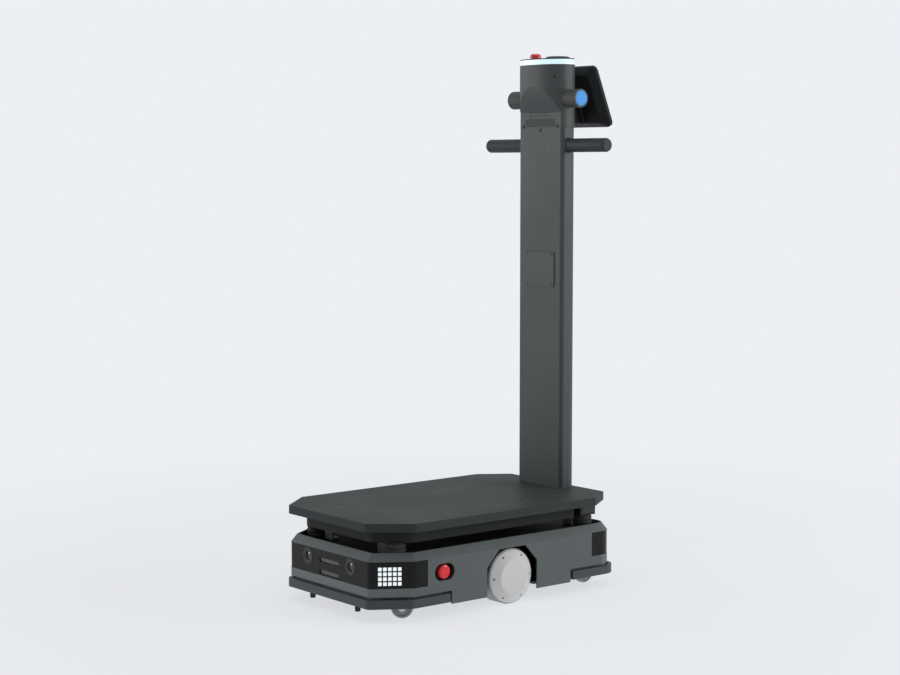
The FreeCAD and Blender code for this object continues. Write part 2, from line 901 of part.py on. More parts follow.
def wheel_cover():
    """Pressed cover on the outside of the wheel: a short cone with a flat centre."""
    base_y = wheel_y - 2
    top = cover_height + 2
    profile = [
        (0, top - cover_sheet),
        (cover_flat_r - 1, top - cover_sheet),
        (rim_r - 4, 1.5),
        (rim_r - 4, 0),
        (rim_r, 0),
        (rim_r, 2),
        (cover_r, 2),
        (cover_r, 3.2),
        (cover_r - 1.5, 4.2),
        (cover_flat_r + 1, top - 0.5),
        (cover_flat_r - 2, top),
        (0, top),
    ]
    return turned(profile, V(axle_x, base_y, wheel_r), LEFT)


def drive_arm():
    """Trailing arm with the motor's fixed axle, its pivot eye and the spring seat."""
    y_range = (arm_y - arm_thickness, arm_y)
    bar = box(
        (axle_x - seat_behind - 10, pivot_x), y_range, (wheel_r - arm_height / 2, wheel_r + arm_height / 2)
    )
    eye = rod(arm_boss_r, V(pivot_x, y_range[0], wheel_r), V(pivot_x, arm_y, wheel_r))
    hub = rod(arm_boss_r + 4, V(axle_x, y_range[0], wheel_r), V(axle_x, arm_y, wheel_r))
    flange = rod(arm_boss_r, V(axle_x, arm_y, wheel_r), V(axle_x, wheel_back_y + 2, wheel_r))
    axle = rod(axle_r, V(axle_x, arm_y, wheel_r), V(axle_x, wheel_y - 12, wheel_r))
    seat_x = axle_x - seat_behind
    seat_y = arm_y - arm_thickness / 2 - spring_r - 3
    seat = rod(seat_width / 2, V(seat_x, seat_y, seat_z - seat_thickness), V(seat_x, seat_y, seat_z))
    web = box(
        (seat_x - 10, seat_x + 10), (seat_y, arm_y), (seat_z - seat_thickness, seat_z)
    )
    post = box((seat_x - 10, seat_x + 10), y_range, (wheel_r, seat_z))
    arm = joined([bar, eye, hub, flange, axle, seat, web, post])
    return arm.cut(rod(pivot_r + running_fit, V(pivot_x, 0, wheel_r), V(pivot_x, arm_y + 1, wheel_r)))


def drive_spring():
    """Coil spring between the arm's seat and the tower's roof."""
    seat_x = axle_x - seat_behind
    seat_y = arm_y - arm_thickness / 2 - spring_r - 3
    height = tower_top_z - tower_sheet - seat_z
    low_z = seat_z + spring_wire_r
    rise = height - 2 * spring_wire_r
    count = spring_turns * spring_steps
    path = []
    for index in range(count + 1):
        angle = 2 * math.pi * index / spring_steps
        path.append(V(
            seat_x + spring_r * math.cos(angle),
            seat_y + spring_r * math.sin(angle),
            low_z + rise * index / count,
        ))
    section = []
    for index in range(wire_sides):
        angle = 2 * math.pi * index / wire_sides
        section.append(path[0] + V(spring_wire_r * math.cos(angle), 0, spring_wire_r * math.sin(angle)))
    profile = Part.makePolygon(section + section[:1])
    return Part.makePolygon(path).makePipeShell([profile], True, False, 1)


# ---- casters ----
def caster_wheel():
    """Small wheel with a rounded tread and recessed sides, its axle along Y at the origin."""
    half = caster_wheel_width / 2
    radius = caster_wheel_r
    profile = [
        (caster_axle_r + running_fit, -half),
        (9, -half),
        (11, -half + 2.5),
        (radius - 7, -half + 2.5),
        (radius - 5, -half),
        (radius - 2, -half + 1),
        (radius, -half + 4.5),
        (radius, half - 4.5),
        (radius - 2, half - 1),
        (radius - 5, half),
        (radius - 7, half - 2.5),
        (11, half - 2.5),
        (9, half),
        (caster_axle_r + running_fit, half),
    ]
    return turned(profile, V(0, 0, 0), LEFT)


def caster_fork():
    """Swivel fork with its kingpin and axle, the wheel trailing along +X from the origin."""
    half = caster_wheel_width / 2 + fork_gap
    crown = rod(crown_r, V(0, 0, crown_z), V(0, 0, crown_z + crown_thickness))
    reach_back = -crown_r * 0.55
    reach_ahead = caster_trail + fork_boss_r
    pieces = [crown]
    for side in (-1, 1):
        inner = side * half
        corners = [
            V(reach_back, inner, crown_z + crown_thickness),
            V(reach_back, inner, crown_z - 4),
            V(caster_trail - fork_boss_r * 0.85, inner, caster_wheel_r - 3),
            V(caster_trail + fork_boss_r * 0.85, inner, caster_wheel_r + 3),
            V(reach_ahead - 2, inner, crown_z + crown_thickness),
        ]
        leg = Part.Face(Part.makePolygon(corners + corners[:1])).extrude(V(0, side * fork_sheet, 0))
        boss_start = V(caster_trail, inner, caster_wheel_r)
        boss = rod(fork_boss_r, boss_start, boss_start + LEFT * side * fork_sheet)
        pieces += [leg, boss]
    bridge = box(
        (reach_back, reach_ahead - 2),
        (-half - fork_sheet, half + fork_sheet),
        (crown_z, crown_z + crown_thickness),
    )
    kingpin = rod(kingpin_r, V(0, 0, crown_z), V(0, 0, hat_z + hat_sheet))
    axle_reach = half + fork_sheet + 2.5
    axle_start = V(caster_trail, -axle_reach, caster_wheel_r)
    axle = rod(caster_axle_r, axle_start, axle_start + LEFT * 2 * axle_reach)
    return joined(pieces + [bridge, kingpin, axle])


def headed(shape, x, y, heading):
    """A caster piece moved to its swivel axis and turned to its heading."""
    moved = shape.copy()
    moved.rotate(V(0, 0, 0), UP, heading)
    moved.translate(V(x, y, 0))
    return moved


def caster_plates():
    """Four mounting plates, each with the fixed bearing race of its swivel."""
    plates = []
    half = caster_plate_size / 2
    for _, x, y, _ in caster_places:
        plate = box((x - half, x + half), (y - half, y + half), (caster_plate_z, hat_z))
        race = rod(race_r, V(x, y, race_z), V(x, y, caster_plate_z))
        bore = rod(kingpin_r + running_fit, V(x, y, 0), V(x, y, far))
        plates.append(joined([plate, race]).cut(bore))
    return Part.makeCompound(plates)


# ---- load deck ----
def deck_plate():
    """Folded tray with tapped payload holes and a slot for the mast's foot."""
    tray = slab(deck_plan, deck_radii, (deck_bottom_z, deck_top_z))
    pocket = slab(
        inset(deck_plan, deck_wall), smaller(deck_radii, deck_wall), (deck_bottom_z - 1, deck_underside_z)
    )
    tray = tray.cut(pocket)
    for x, y in payload_points():
        tray = tray.cut(rod(payload_hole_r, V(x, y, 0), V(x, y, far)))
    return tray.cut(mast_section(0, deck_bottom_z - 1, deck_top_z + 1))


def payload_points():
    """Centres of the payload holes."""
    points = []
    for side in (-1, 1):
        points.append((payload_front_x, side * payload_front_spacing_y / 2))
        for end in (-1, 1):
            points.append((payload_x + end * payload_spacing_x / 2, side * payload_spacing_y / 2))
    return points


def foot_block():
    """The space that the mast's foot plate fills under the deck."""
    half = mast_width / 2 + foot_margin
    z_range = (deck_underside_z - foot_plate, deck_underside_z)
    return box((mast_rear_x, mast_front_x + foot_margin), (-half, half), z_range)


def spigot_block():
    """The tongue of the mast's foot, which fills the hollow of the mast."""
    return mast_section(mast_wall, deck_underside_z - foot_plate, deck_top_z + spigot_height)


def hollow_beam(x_range, y_range, top):
    """A box beam at the bottom of the frame, open at both ends of its longer side."""
    outside = box(x_range, y_range, (frame_bottom_z, top))
    x_low, x_high = x_range
    y_low, y_high = y_range
    if x_high - x_low < y_high - y_low:
        inside_x = (x_low + frame_wall, x_high - frame_wall)
        inside_y = y_range
    else:
        inside_x = x_range
        inside_y = (y_low + frame_wall, y_high - frame_wall)
    return outside.cut(box(inside_x, inside_y, (frame_bottom_z + frame_wall, top - frame_wall)))


def deck_subframe():
    """Welded frame under the deck: a rim, a beam over each pair of mounts and two rails."""
    z_range = (frame_bottom_z, deck_underside_z)
    radii = [frame_corner_r + frame_inset] * 8
    ahead = from_x_up(frame_rear_x)
    rim = wall(deck_plan, radii, frame_inset, frame_inset + frame_wall, z_range).common(ahead)
    inside = slab(inset(deck_plan, frame_inset), smaller(radii, frame_inset), z_range)
    back = inside.common(between_x(frame_rear_x, frame_rear_x + frame_wall))
    front_x, rear_x = mount_places[0][0], mount_places[1][0]
    half_beam = beam_width / 2
    rail_top = frame_bottom_z + beam_height
    front_beam = hollow_beam((front_x - half_beam, front_x + half_beam), everywhere, rail_top)
    rear_beam = hollow_beam(
        (rear_x - half_beam, rear_x + half_beam),
        (-rear_beam_half, rear_beam_half),
        deck_underside_z - foot_plate,
    )
    pieces = [rim, back, front_beam.common(inside), rear_beam]
    rail_x_range = (rear_x + half_beam, front_x - half_beam)
    for y in (-rail_y, rail_y):
        pieces.append(hollow_beam(rail_x_range, (y - rail_width / 2, y + rail_width / 2), rail_top))
    return joined(pieces)


def deck_mounts():
    """Four ribbed rubber mounts that cushion the deck."""
    height = frame_bottom_z - top_tray_z
    ribs = 3
    step = height / ribs
    profile = [(0, 0)]
    for index in range(ribs):
        base = index * step
        profile.append((mount_r - 1, base))
        profile.append((mount_r, base + step * 0.3))
        profile.append((mount_r, base + step * 0.6))
        profile.append((mount_r - mount_rib, base + step * 0.8))
    profile.append((mount_r - 1, height))
    profile.append((0, height))
    mounts = []
    for x, y in mount_places:
        for side in (-1, 1):
            mounts.append(turned(profile, V(x, side * y, top_tray_z), UP))
    return Part.makeCompound(mounts)


def deck_legs():
    """Four folded brackets beside the mounts that stop the deck from lifting off."""
    legs = []
    for x, y in mount_places:
        leg_y = y - leg_offset_y
        y_range = (leg_y - leg_width / 2, leg_y + leg_width / 2)
        upright = box((x - 2, x - 2 + leg_sheet), y_range, (top_tray_z, frame_bottom_z))
        foot = box((x - 2 - leg_foot, x), y_range, (top_tray_z, top_tray_z + leg_sheet))
        head = box((x - 2 - leg_foot, x), y_range, (frame_bottom_z - leg_sheet, frame_bottom_z))
        leg = joined([upright, foot, head])
        legs += [leg, mirrored(leg)]
    return Part.makeCompound(legs)


# ---- mast ----
def mast_section(depth_in, bottom, top):
    """The mast's rounded section, moved in by a wall, between two heights."""
    half = mast_width / 2
    points = [(mast_rear_x, -half), (mast_front_x, -half), (mast_front_x, half), (mast_rear_x, half)]
    radii = [mast_rear_r, mast_front_r, mast_front_r, mast_rear_r]
    return slab(inset(points, depth_in), smaller(radii, depth_in), (bottom, top))


def mast_foot():
    """Foot plate under the deck with a hollow tongue that stands up inside the mast."""
    tongue = spigot_block().cut(
        mast_section(mast_wall + 3, deck_underside_z - foot_plate - 1, deck_top_z + spigot_height + 1)
    )
    return joined([foot_block(), tongue])


def mast_column():
    """Hollow extrusion with a service opening and cross bores for the handle tube."""
    column = mast_section(0, deck_underside_z, mast_top_z)
    column = column.cut(mast_section(mast_wall, deck_underside_z - 1, mast_top_z + 1))
    opening = box(
        (mast_mid_x, far),
        (-hatch_width / 2 + hatch_lap, hatch_width / 2 - hatch_lap),
        (hatch_z - hatch_height / 2 + hatch_lap, hatch_z + hatch_height / 2 - hatch_lap),
    )
    tube = rod(handle_r, V(rail_x, -far, handle_z), V(rail_x, far, handle_z))
    return column.cut(opening).cut(tube)


def mast_hatch():
    """Service cover with rounded corners on the mast's front."""
    half_w = hatch_width / 2
    half_h = hatch_height / 2
    points = [(-half_h, -half_w), (half_h, -half_w), (half_h, half_w), (-half_h, half_w)]
    plate = slab(points, [hatch_corner_r] * 4, (0, hatch_sheet))
    plate.rotate(V(0, 0, 0), LEFT, 90)
    plate.translate(V(mast_front_x, 0, hatch_z))
    return plate


# ---- head ----
def oval_slab(inset_by, z_range):
    """The head's squarish oval section, moved in by a wall, between two heights."""
    low, high = z_range
    along = head_depth / 2 - inset_by
    across = head_width / 2 - inset_by
    power = 2 / head_squareness
    points = []
    for index in range(oval_points):
        angle = 2 * math.pi * index / oval_points
        x = math.copysign(abs(math.cos(angle)) ** power, math.cos(angle)) * along
        y = math.copysign(abs(math.sin(angle)) ** power, math.sin(angle)) * across
        points.append(V(head_x + x, y, low))
    curve = Part.BSplineCurve()
    curve.interpolate(Points=points, PeriodicFlag=True)
    return Part.Face(Part.Wire(curve.toShape())).extrude(V(0, 0, high - low))


def ahead_of_cut(shift):
    """The space ahead of the head's cut: upright over the mast's front, then swung forward."""
    low_z = mast_top_z - 50
    turn = V(mast_front_x - shift, -far, cut_turn_z)
    top = V(head_x + head_depth / 2 + cut_runout - shift, -far, cut_top_z)
    along = (top - turn).normalize()
    bulge = (turn + top) / 2 + V(along.z, 0, -along.x) * cut_bulge
    edges = [
        Part.makeLine(V(turn.x, -far, low_z), turn),
        Part.Arc(turn, bulge, top).toShape(),
        Part.makeLine(top, V(far, -far, cut_top_z)),
        Part.makeLine(V(far, -far, cut_top_z), V(far, -far, low_z)),
        Part.makeLine(V(far, -far, low_z), V(turn.x, -far, low_z)),
    ]
    return Part.Face(Part.Wire(edges)).extrude(V(0, 2 * far, 0))


def eye_frame():
    """The point on the head's oval where the small camera sits, and the oval's normal there."""
    power = head_squareness
    half_depth = head_depth / 2
    half_width = head_width / 2
    reach = half_depth * (1 - (eye_y / half_width) ** power) ** (1 / power)
    normal = V(
        (reach / half_depth) ** (power - 1) / half_depth,
        (eye_y / half_width) ** (power - 1) / half_width,
        0,
    )
    return V(head_x + reach, eye_y, eye_z), normal.normalize()


def speaker_slab():
    """The space that the speaker panel fills in the cut front."""
    layer = ahead_of_cut(speaker_sheet).cut(ahead_of_cut(0))
    return layer.common(oval_slab(speaker_inset, (speaker_bottom_z, cut_top_z)))


def head_shell():
    """Housing with an oval section and a cut front, open at the top, bored for lamps and camera."""
    z_range = (mast_top_z, head_top_z)
    outside = oval_slab(0, z_range).cut(ahead_of_cut(0))
    hollow = oval_slab(head_wall, (mast_top_z + 4, head_top_z + 1)).cut(ahead_of_cut(speaker_sheet + 3))
    shell = outside.cut(hollow).cut(speaker_slab())
    lamp = rod(lamp_r, V(rail_x, -far, lamp_z), V(rail_x, far, lamp_z))
    eye_point, eye_normal = eye_frame()
    eye = rod(eye_r, eye_point - eye_normal * 10, eye_point + eye_normal * 10)
    throat = mast_section(mast_wall + 6, mast_top_z - 1, mast_top_z + 5)
    return shell.cut(lamp).cut(eye).cut(throat)


def speaker_panel():
    """Arched cover in the cut front, with three level grooves."""
    panel = speaker_slab()
    for z, half_length in zip(groove_z, groove_half_lengths):
        z_range = (z - groove_height / 2, z + groove_height / 2)
        panel = panel.cut(box((mast_front_x - 1.2, far), (-half_length, half_length), z_range))
    return panel


def light_ring():
    """Translucent light ring on top of the head."""
    outside = oval_slab(0.5, (head_top_z, ring_top_z))
    return outside.cut(oval_slab(ring_wall, (head_top_z - 1, ring_top_z + 1)))


def head_cap():
    """Lid of the head with a raised rim and a sunk seat for the stop button."""
    plate = oval_slab(1.0, (ring_top_z, cap_top_z))
    plug = oval_slab(ring_wall, (ring_top_z - 8, ring_top_z + 1))
    lid = joined([plate, plug])
    seat = rod(top_stop_r + 1, V(head_x, top_stop_y, cap_top_z - 6), V(head_x, top_stop_y, cap_top_z + 1))
    low = V(head_x, top_stop_y, head_top_z - 20)
    bore = rod(stop_stem_r + running_fit, low, V(head_x, top_stop_y, cap_top_z))
    return lid.cut(seat).cut(bore)


def antenna_disc():
    """Low round antenna cover on the cap."""
    profile = [
        (0, 0),
        (disc_r, 0),
        (disc_r - 0.5, 1.5),
        (disc_r - 5, disc_height - 0.8),
        (disc_r - 8, disc_height),
        (0, disc_height),
    ]
    return turned(profile, V(head_x, disc_y, cap_top_z), UP)


# ---- signal lamps and handles ----
def signal_lamps():
    """Two lamp housings that stick out of the head's sides."""
    inner_y = 50.0
    housing = rod(lamp_r, V(rail_x, inner_y, lamp_z), V(rail_x, lamp_end_y, lamp_z))
    hollow = rod(lens_r, V(rail_x, inner_y + 6, lamp_z), V(rail_x, lamp_end_y + 1, lamp_z))
    return both_sides(housing.cut(hollow))


def signal_lenses():
    """Round lenses at the ends of the signal lamps."""
    profile = [
        (0, -lens_sheet),
        (lens_r, -lens_sheet),
        (lens_r, 0),
        (lens_r - 1, 1.4),
        (lens_r - 5, 2.4),
        (0, 2.8),
    ]
    return both_sides(turned(profile, V(rail_x, lamp_end_y - 0.5, lamp_z), LEFT))


def handle_tube():
    """One tube through the mast that makes both handles."""
    outside = rod(handle_r, V(rail_x, -handle_end_y, handle_z), V(rail_x, handle_end_y, handle_z))
    return outside.cut(
        rod(handle_r - handle_wall, V(rail_x, -far, handle_z), V(rail_x, far, handle_z))
    )


def handle_caps():
    """Rounded end caps with a plug inside the tube."""
    profile = [
        (0, -12),
        (handle_r - handle_wall, -12),
        (handle_r - handle_wall, 0),
        (handle_r, 0),
        (handle_r, handle_cap - 4),
        (handle_r - 1.2, handle_cap - 1.2),
        (handle_r - 4, handle_cap),
        (0, handle_cap),
    ]
    return both_sides(turned(profile, V(rail_x, handle_end_y, handle_z), LEFT))


def handle_collars():
    """Collars that close the joint between the handle tube and the mast."""
    sleeve = rod(collar_r, V(rail_x, mast_width / 4, handle_z), V(rail_x, collar_end_y, handle_z))
    tube = rod(handle_r, V(rail_x, 0, handle_z), V(rail_x, far, handle_z))
    return both_sides(sleeve.cut(tube).cut(mast_section(0, 0, mast_top_z + 100)))


# ---- tablet ----
def tablet_place(shape):
    """Move a shape from the tablet's own frame (screen towards -X, top up) to its place."""
    moved = shape.copy()
    moved.rotate(V(0, 0, 0), LEFT, tablet_tilt)
    moved.translate(V(tablet_x(), 0, tablet_z))
    return moved


def tablet_x():
    """Centre of the tablet, far enough back to clear the head at its top edge."""
    top_reach = math.sin(tilt) * tablet_height / 2 + math.cos(tilt) * tablet_thickness / 2
    return head_x - head_depth / 2 - tablet_gap - top_reach


def rounded_sheet(width, height, corner, x):
    """Outline of an upright rounded rectangle at one x, in the tablet's own frame."""
    half_w = width / 2
    half_h = height / 2
    points = [(-half_h, -half_w), (half_h, -half_w), (half_h, half_w), (-half_h, half_w)]
    wire = outline(points, [corner] * 4, 0)
    wire.rotate(V(0, 0, 0), LEFT, -90)
    wire.translate(V(x, 0, 0))
    return wire


def tablet_shell():
    """Back housing of the tablet: a rim and a tapering back, with a seat for the glass."""
    rear_x = -tablet_thickness / 2
    rim_x = rear_x + tablet_rim
    rim_sheet = rounded_sheet(tablet_width, tablet_height, tablet_corner_r, rear_x)
    rim = Part.Face(rim_sheet).extrude(V(tablet_rim, 0, 0))
    back_width = tablet_width - 2 * tablet_taper
    back_height = tablet_height - 2 * tablet_taper
    sections = [
        rounded_sheet(tablet_width, tablet_height, tablet_corner_r, rim_x),
        rounded_sheet(back_width, back_height, tablet_corner_r, -rear_x),
    ]
    back = Part.makeLoft(sections, True, True)
    return tablet_place(joined([rim, back]).cut(glass_block()))


def glass_block():
    """Screen glass in the tablet's own frame."""
    rear_x = -tablet_thickness / 2
    sheet = rounded_sheet(
        tablet_width - 2 * glass_margin, tablet_height - 2 * glass_margin, tablet_corner_r - 6, rear_x
    )
    return Part.Face(sheet).extrude(V(glass_sheet, 0, 0))


def tablet_glass():
    """Screen glass, flush with the rim."""
    return tablet_place(glass_block())


def tablet_bracket():
    """Arm from the back of the head to a plate on the tablet's back."""
    half = bracket_width / 2
    front_x = tablet_thickness / 2
    plate = tablet_place(box((front_x, front_x + bracket_plate), (-half, half), (-58, 20)))
    arm = box((tablet_x() - 40, head_x), (-half + 12, half - 12), (bracket_bottom_z, bracket_top_z))
    behind_tablet = tablet_place(box((-far, front_x), everywhere, everywhere))
    in_head = oval_slab(0, (mast_top_z, head_top_z))
    return joined([plate, arm]).cut(behind_tablet).cut(in_head)


# ---- assembly ----
def build_nodes():
    """Every piece by name, laid out about the middle of the deck."""
    nodes = {
        "chassis_pan": chassis_pan(),
        "frame_brackets": Part.makeCompound([caster_bridges(), drive_towers(), arm_pins()]),
        "battery_pack": battery_pack(),
        "drive_electronics": Part.makeCompound([control_box(), motor_drivers()]),
        "front_skirt": front_skirt(),
        "rear_skirt": rear_skirt(),
        "front_sensor_band": front_sensor_band(),
        "rear_sensor_band": rear_sensor_band(),
        "led_matrices": led_matrices(),
        "front_cameras": front_cameras(),
        "slot_sensors": slot_sensors(),
        "top_cover": top_cover(),
        "top_tray": top_tray(),
        "stop_cups": stop_cups(),
        "caster_plates": caster_plates(),
        "front_bumper": front_bumper(),
        "rear_bumper": rear_bumper(),
        "deck_plate": deck_plate(),
        "deck_subframe": deck_subframe(),
        "deck_mounts": deck_mounts(),
        "deck_legs": deck_legs(),
        "mast_foot": mast_foot(),
        "mast_column": mast_column(),
        "mast_hatch": mast_hatch(),
        "head_shell": head_shell(),
        "speaker_panel": speaker_panel(),
        "light_ring": light_ring(),
        "head_cap": head_cap(),
        "antenna_disc": antenna_disc(),
        "top_stop_button": top_stop_button(),
        "signal_lamps": signal_lamps(),
        "signal_lenses": signal_lenses(),
        "handle_tube": handle_tube(),
        "handle_caps": handle_caps(),
        "handle_collars": handle_collars(),
        "tablet_shell": tablet_shell(),
        "tablet_glass": tablet_glass(),
        "tablet_bracket": tablet_bracket(),
    }
    handed = {
        "side_panel": side_panel(),
        "stop_button": side_stop_button(),
        "drive_tyre": drive_tyre(),
        "drive_hub": drive_hub(),
        "wheel_cover": wheel_cover(),
        "drive_arm": drive_arm(),
        "drive_spring": drive_spring(),
    }
    for name, shape in handed.items():
        nodes["left_" + name] = shape
        nodes["right_" + name] = mirrored(shape)
    fork = caster_fork()
    wheel = caster_wheel()
    wheel.translate(V(caster_trail, 0, caster_wheel_r))
    for name, x, y, heading in caster_places:
        nodes[name + "_caster_fork"] = headed(fork, x, y, heading)
        nodes[name + "_caster_wheel"] = headed(wheel, x, y, heading)
    return nodes


def place_origin(nodes):
    """Move every piece so that the origin lies under the middle of the footprint."""
    front = max(shape.BoundBox.XMax for shape in nodes.values())
    rear = min(shape.BoundBox.XMin for shape in nodes.values())
    shift = -(front + rear) / 2
    for shape in nodes.values():
        shape.translate(V(shift, 0, 0))
    return shift


nodes = build_nodes()
origin_shift = place_origin(nodes)
os.makedirs("parts", exist_ok=True)
for name, shape in nodes.items():
    shape.exportStep("parts/" + name + ".step")
print("nodes", len(nodes), "origin shift", round(origin_shift, 4))
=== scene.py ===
import bpy
import json
import math
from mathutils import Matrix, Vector


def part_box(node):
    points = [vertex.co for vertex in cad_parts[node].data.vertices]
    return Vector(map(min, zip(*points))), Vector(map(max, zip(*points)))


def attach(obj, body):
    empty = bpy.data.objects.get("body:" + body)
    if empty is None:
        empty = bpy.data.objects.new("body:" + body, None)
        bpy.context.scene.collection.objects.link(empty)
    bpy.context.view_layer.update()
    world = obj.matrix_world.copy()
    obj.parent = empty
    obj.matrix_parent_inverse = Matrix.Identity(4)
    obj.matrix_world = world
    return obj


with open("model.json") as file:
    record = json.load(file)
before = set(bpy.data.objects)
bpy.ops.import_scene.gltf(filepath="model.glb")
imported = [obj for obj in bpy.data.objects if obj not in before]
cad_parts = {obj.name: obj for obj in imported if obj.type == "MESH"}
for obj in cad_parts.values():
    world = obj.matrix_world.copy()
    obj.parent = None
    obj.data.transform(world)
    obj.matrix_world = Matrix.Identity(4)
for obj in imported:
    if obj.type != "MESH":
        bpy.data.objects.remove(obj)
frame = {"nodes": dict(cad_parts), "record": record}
# Blender's own start-up objects, where there are any.
for name in ("Cube", "Light", "Camera"):
    if name in bpy.data.objects:
        bpy.data.objects.remove(bpy.data.objects[name])
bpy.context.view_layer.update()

nodes = frame["nodes"]
MM = 0.001
AHEAD = Vector((1, 0, 0))
LEFT = Vector((0, 1, 0))
UP = Vector((0, 0, 1))


# ---- materials ----
def srgb(red, green, blue):
    """A colour given as 0-255 screen values, in the linear values that shaders use."""
    linear = []
    for value in (red, green, blue):
        value /= 255
        linear.append(value / 12.92 if value <= 0.04045 else ((value + 0.055) / 1.055) ** 2.4)
    return (*linear, 1.0)


def scaled(colour, factor):
    """A colour made lighter or darker."""
    return (*(min(channel * factor, 1.0) for channel in colour[:3]), 1.0)


class Graph:
    """A material's node tree with the few calls that the finishes below share."""

    def __init__(self, name):
        self.material = bpy.data.materials.new(name)
        self.material.use_nodes = True
        self.tree = self.material.node_tree
        self.shader = self.tree.nodes["Principled BSDF"]
        self.place = self.add("ShaderNodeTexCoord").outputs["Object"]

    def add(self, kind, **values):
        node = self.tree.nodes.new(kind)
        for key, value in values.items():
            setattr(node, key, value)
        return node

    def link(self, source, target):
        self.tree.links.new(source, target)

    def noise(self, scale, detail=2.0, roughness=0.5, stretch=None):
        """Noise in the object's own metres; stretch scales the three axes."""
        place = self.place
        if stretch:
            mapping = self.add("ShaderNodeMapping")
            mapping.inputs["Scale"].default_value = stretch
            self.link(place, mapping.inputs["Vector"])
            place = mapping.outputs["Vector"]
        node = self.add("ShaderNodeTexNoise")
        node.inputs["Scale"].default_value = scale
        node.inputs["Detail"].default_value = detail
        node.inputs["Roughness"].default_value = roughness
        self.link(place, node.inputs["Vector"])
        return node.outputs["Fac"]

    def cells(self, scale):
        """Round pits in the object's own metres."""
        node = self.add("ShaderNodeTexVoronoi")
        node.inputs["Scale"].default_value = scale
        self.link(self.place, node.inputs["Vector"])
        return node.outputs["Distance"]

    def spread(self, value, low, high, from_low=0.3, from_high=0.7):
        node = self.add("ShaderNodeMapRange")
        self.link(value, node.inputs["Value"])
        limits = {"From Min": from_low, "From Max": from_high, "To Min": low, "To Max": high}
        for key, number in limits.items():
            node.inputs[key].default_value = number
        return node.outputs["Result"]

    def blend(self, factor, first, second):
        """Mix of two colours or colour sockets."""
        node = self.add("ShaderNodeMix", data_type="RGBA")
        self.link(factor, node.inputs["Factor"])
        for value, socket in ((first, node.inputs["A"]), (second, node.inputs["B"])):
            if isinstance(value, tuple):
                socket.default_value = value
            else:
                self.link(value, socket)
        return node.outputs["Result"]

    def edges(self, radius):
        """High where the surface turns at an edge, and the rounded normal there."""
        rounded = self.add("ShaderNodeBevel", samples=6)
        rounded.inputs["Radius"].default_value = radius
        geometry = self.add("ShaderNodeNewGeometry")
        dot = self.add("ShaderNodeVectorMath", operation="DOT_PRODUCT")
        self.link(rounded.outputs["Normal"], dot.inputs[0])
        self.link(geometry.outputs["Normal"], dot.inputs[1])
        return self.spread(dot.outputs["Value"], 1.0, 0.0, 0.80, 0.985), rounded.outputs["Normal"]

    def bump(self, height, distance, strength=1.0, normal=None):
        node = self.add("ShaderNodeBump")
        node.inputs["Distance"].default_value = distance
        node.inputs["Strength"].default_value = strength
        self.link(height, node.inputs["Height"])
        if normal:
            self.link(normal, node.inputs["Normal"])
        return node.outputs["Normal"]

    def finish(self, colour=None, roughness=None, normal=None, **uniform):
        """Connect the varying sockets and set the uniform ones."""
        for value, key in ((colour, "Base Color"), (roughness, "Roughness"), (normal, "Normal")):
            if isinstance(value, (tuple, float)):
                self.shader.inputs[key].default_value = value
            elif value:
                self.link(value, self.shader.inputs[key])
        for key, value in uniform.items():
            self.shader.inputs[key.replace("_", " ")].default_value = value
        return self.material


def coated_metal(
    name, colour, roughness, grain=1500.0, depth=0.00006, edge_wear_and_highlight=1.35, tone=0.06, shine=0.25
):
    """Powder coat: fine orange peel, soft cloudiness and edges made lighter, partly as rubbed wear and partly
    as a painted highlight.
    """
    graph = Graph(name)
    cloud = graph.noise(5.0, 3.0)
    speck = graph.noise(grain * 0.6, 1.0)
    edge, rounded = graph.edges(0.0009)
    base = graph.blend(graph.spread(cloud, 0, 1), scaled(colour, 1 - tone), scaled(colour, 1 + tone))
    fleck = graph.blend(graph.spread(speck, 0, 1, 0.62, 0.78), base, scaled(colour, 1.25))
    # Edges turn lighter in noisy patches: partly rubbed wear, partly a painted highlight where edges would
    # catch the light.
    rubbed_and_highlit_edge = graph.blend(graph.spread(graph.noise(60.0, 4.0), 0, 1, 0.35, 0.65), base, scaled(colour, edge_wear_and_highlight))
    final = graph.blend(edge, fleck, rubbed_and_highlit_edge)
    peel = graph.noise(grain, 2.0, 0.6)
    return graph.finish(
        final,
        graph.spread(cloud, roughness - 0.05, roughness + 0.06),
        graph.bump(peel, depth, 0.5, rounded),
        Specular_IOR_Level=shine,
    )


def moulded(
    name, colour, roughness, grain=900.0, depth=0.00005, tone=0.05, coat=0.0, edge_wear_and_highlight=1.3, shine=0.3
):
    """Moulded plastic with a spark-eroded grain or, with a coat, a polished one."""
    graph = Graph(name)
    cloud = graph.noise(9.0, 2.0)
    edge, rounded = graph.edges(0.0006)
    base = graph.blend(graph.spread(cloud, 0, 1), scaled(colour, 1 - tone), scaled(colour, 1 + tone))
    # Edges turn lighter all round: partly wear, partly a painted highlight.
    final = graph.blend(edge, base, scaled(colour, edge_wear_and_highlight))
    pits = graph.cells(grain)
    smear = graph.noise(26.0, 4.0, 0.6)
    return graph.finish(
        final,
        graph.spread(smear, roughness - 0.04, roughness + 0.08),
        graph.bump(pits, depth, 0.4, rounded),
        Coat_Weight=coat,
        Coat_Roughness=0.08,
        Specular_IOR_Level=shine,
    )


def rubber(name, colour, roughness=0.72, grain=700.0, dust=1.6):
    """Matt rubber with fine grain and a little dust on faces that look up."""
    graph = Graph(name)
    cloud = graph.noise(14.0, 4.0, 0.6)
    geometry = graph.add("ShaderNodeNewGeometry")
    split = graph.add("ShaderNodeSeparateXYZ")
    graph.link(geometry.outputs["Normal"], split.inputs[0])
    lying = graph.spread(split.outputs["Z"], 0.0, 0.5, 0.2, 1.0)
    base = graph.blend(graph.spread(cloud, 0, 1), scaled(colour, 0.9), scaled(colour, 1.15))
    final = graph.blend(lying, base, scaled(colour, dust))
    peel = graph.noise(grain, 3.0, 0.65)
    return graph.finish(
        final, graph.spread(cloud, roughness - 0.08, roughness + 0.1), graph.bump(peel, 0.0001, 0.5)
    )


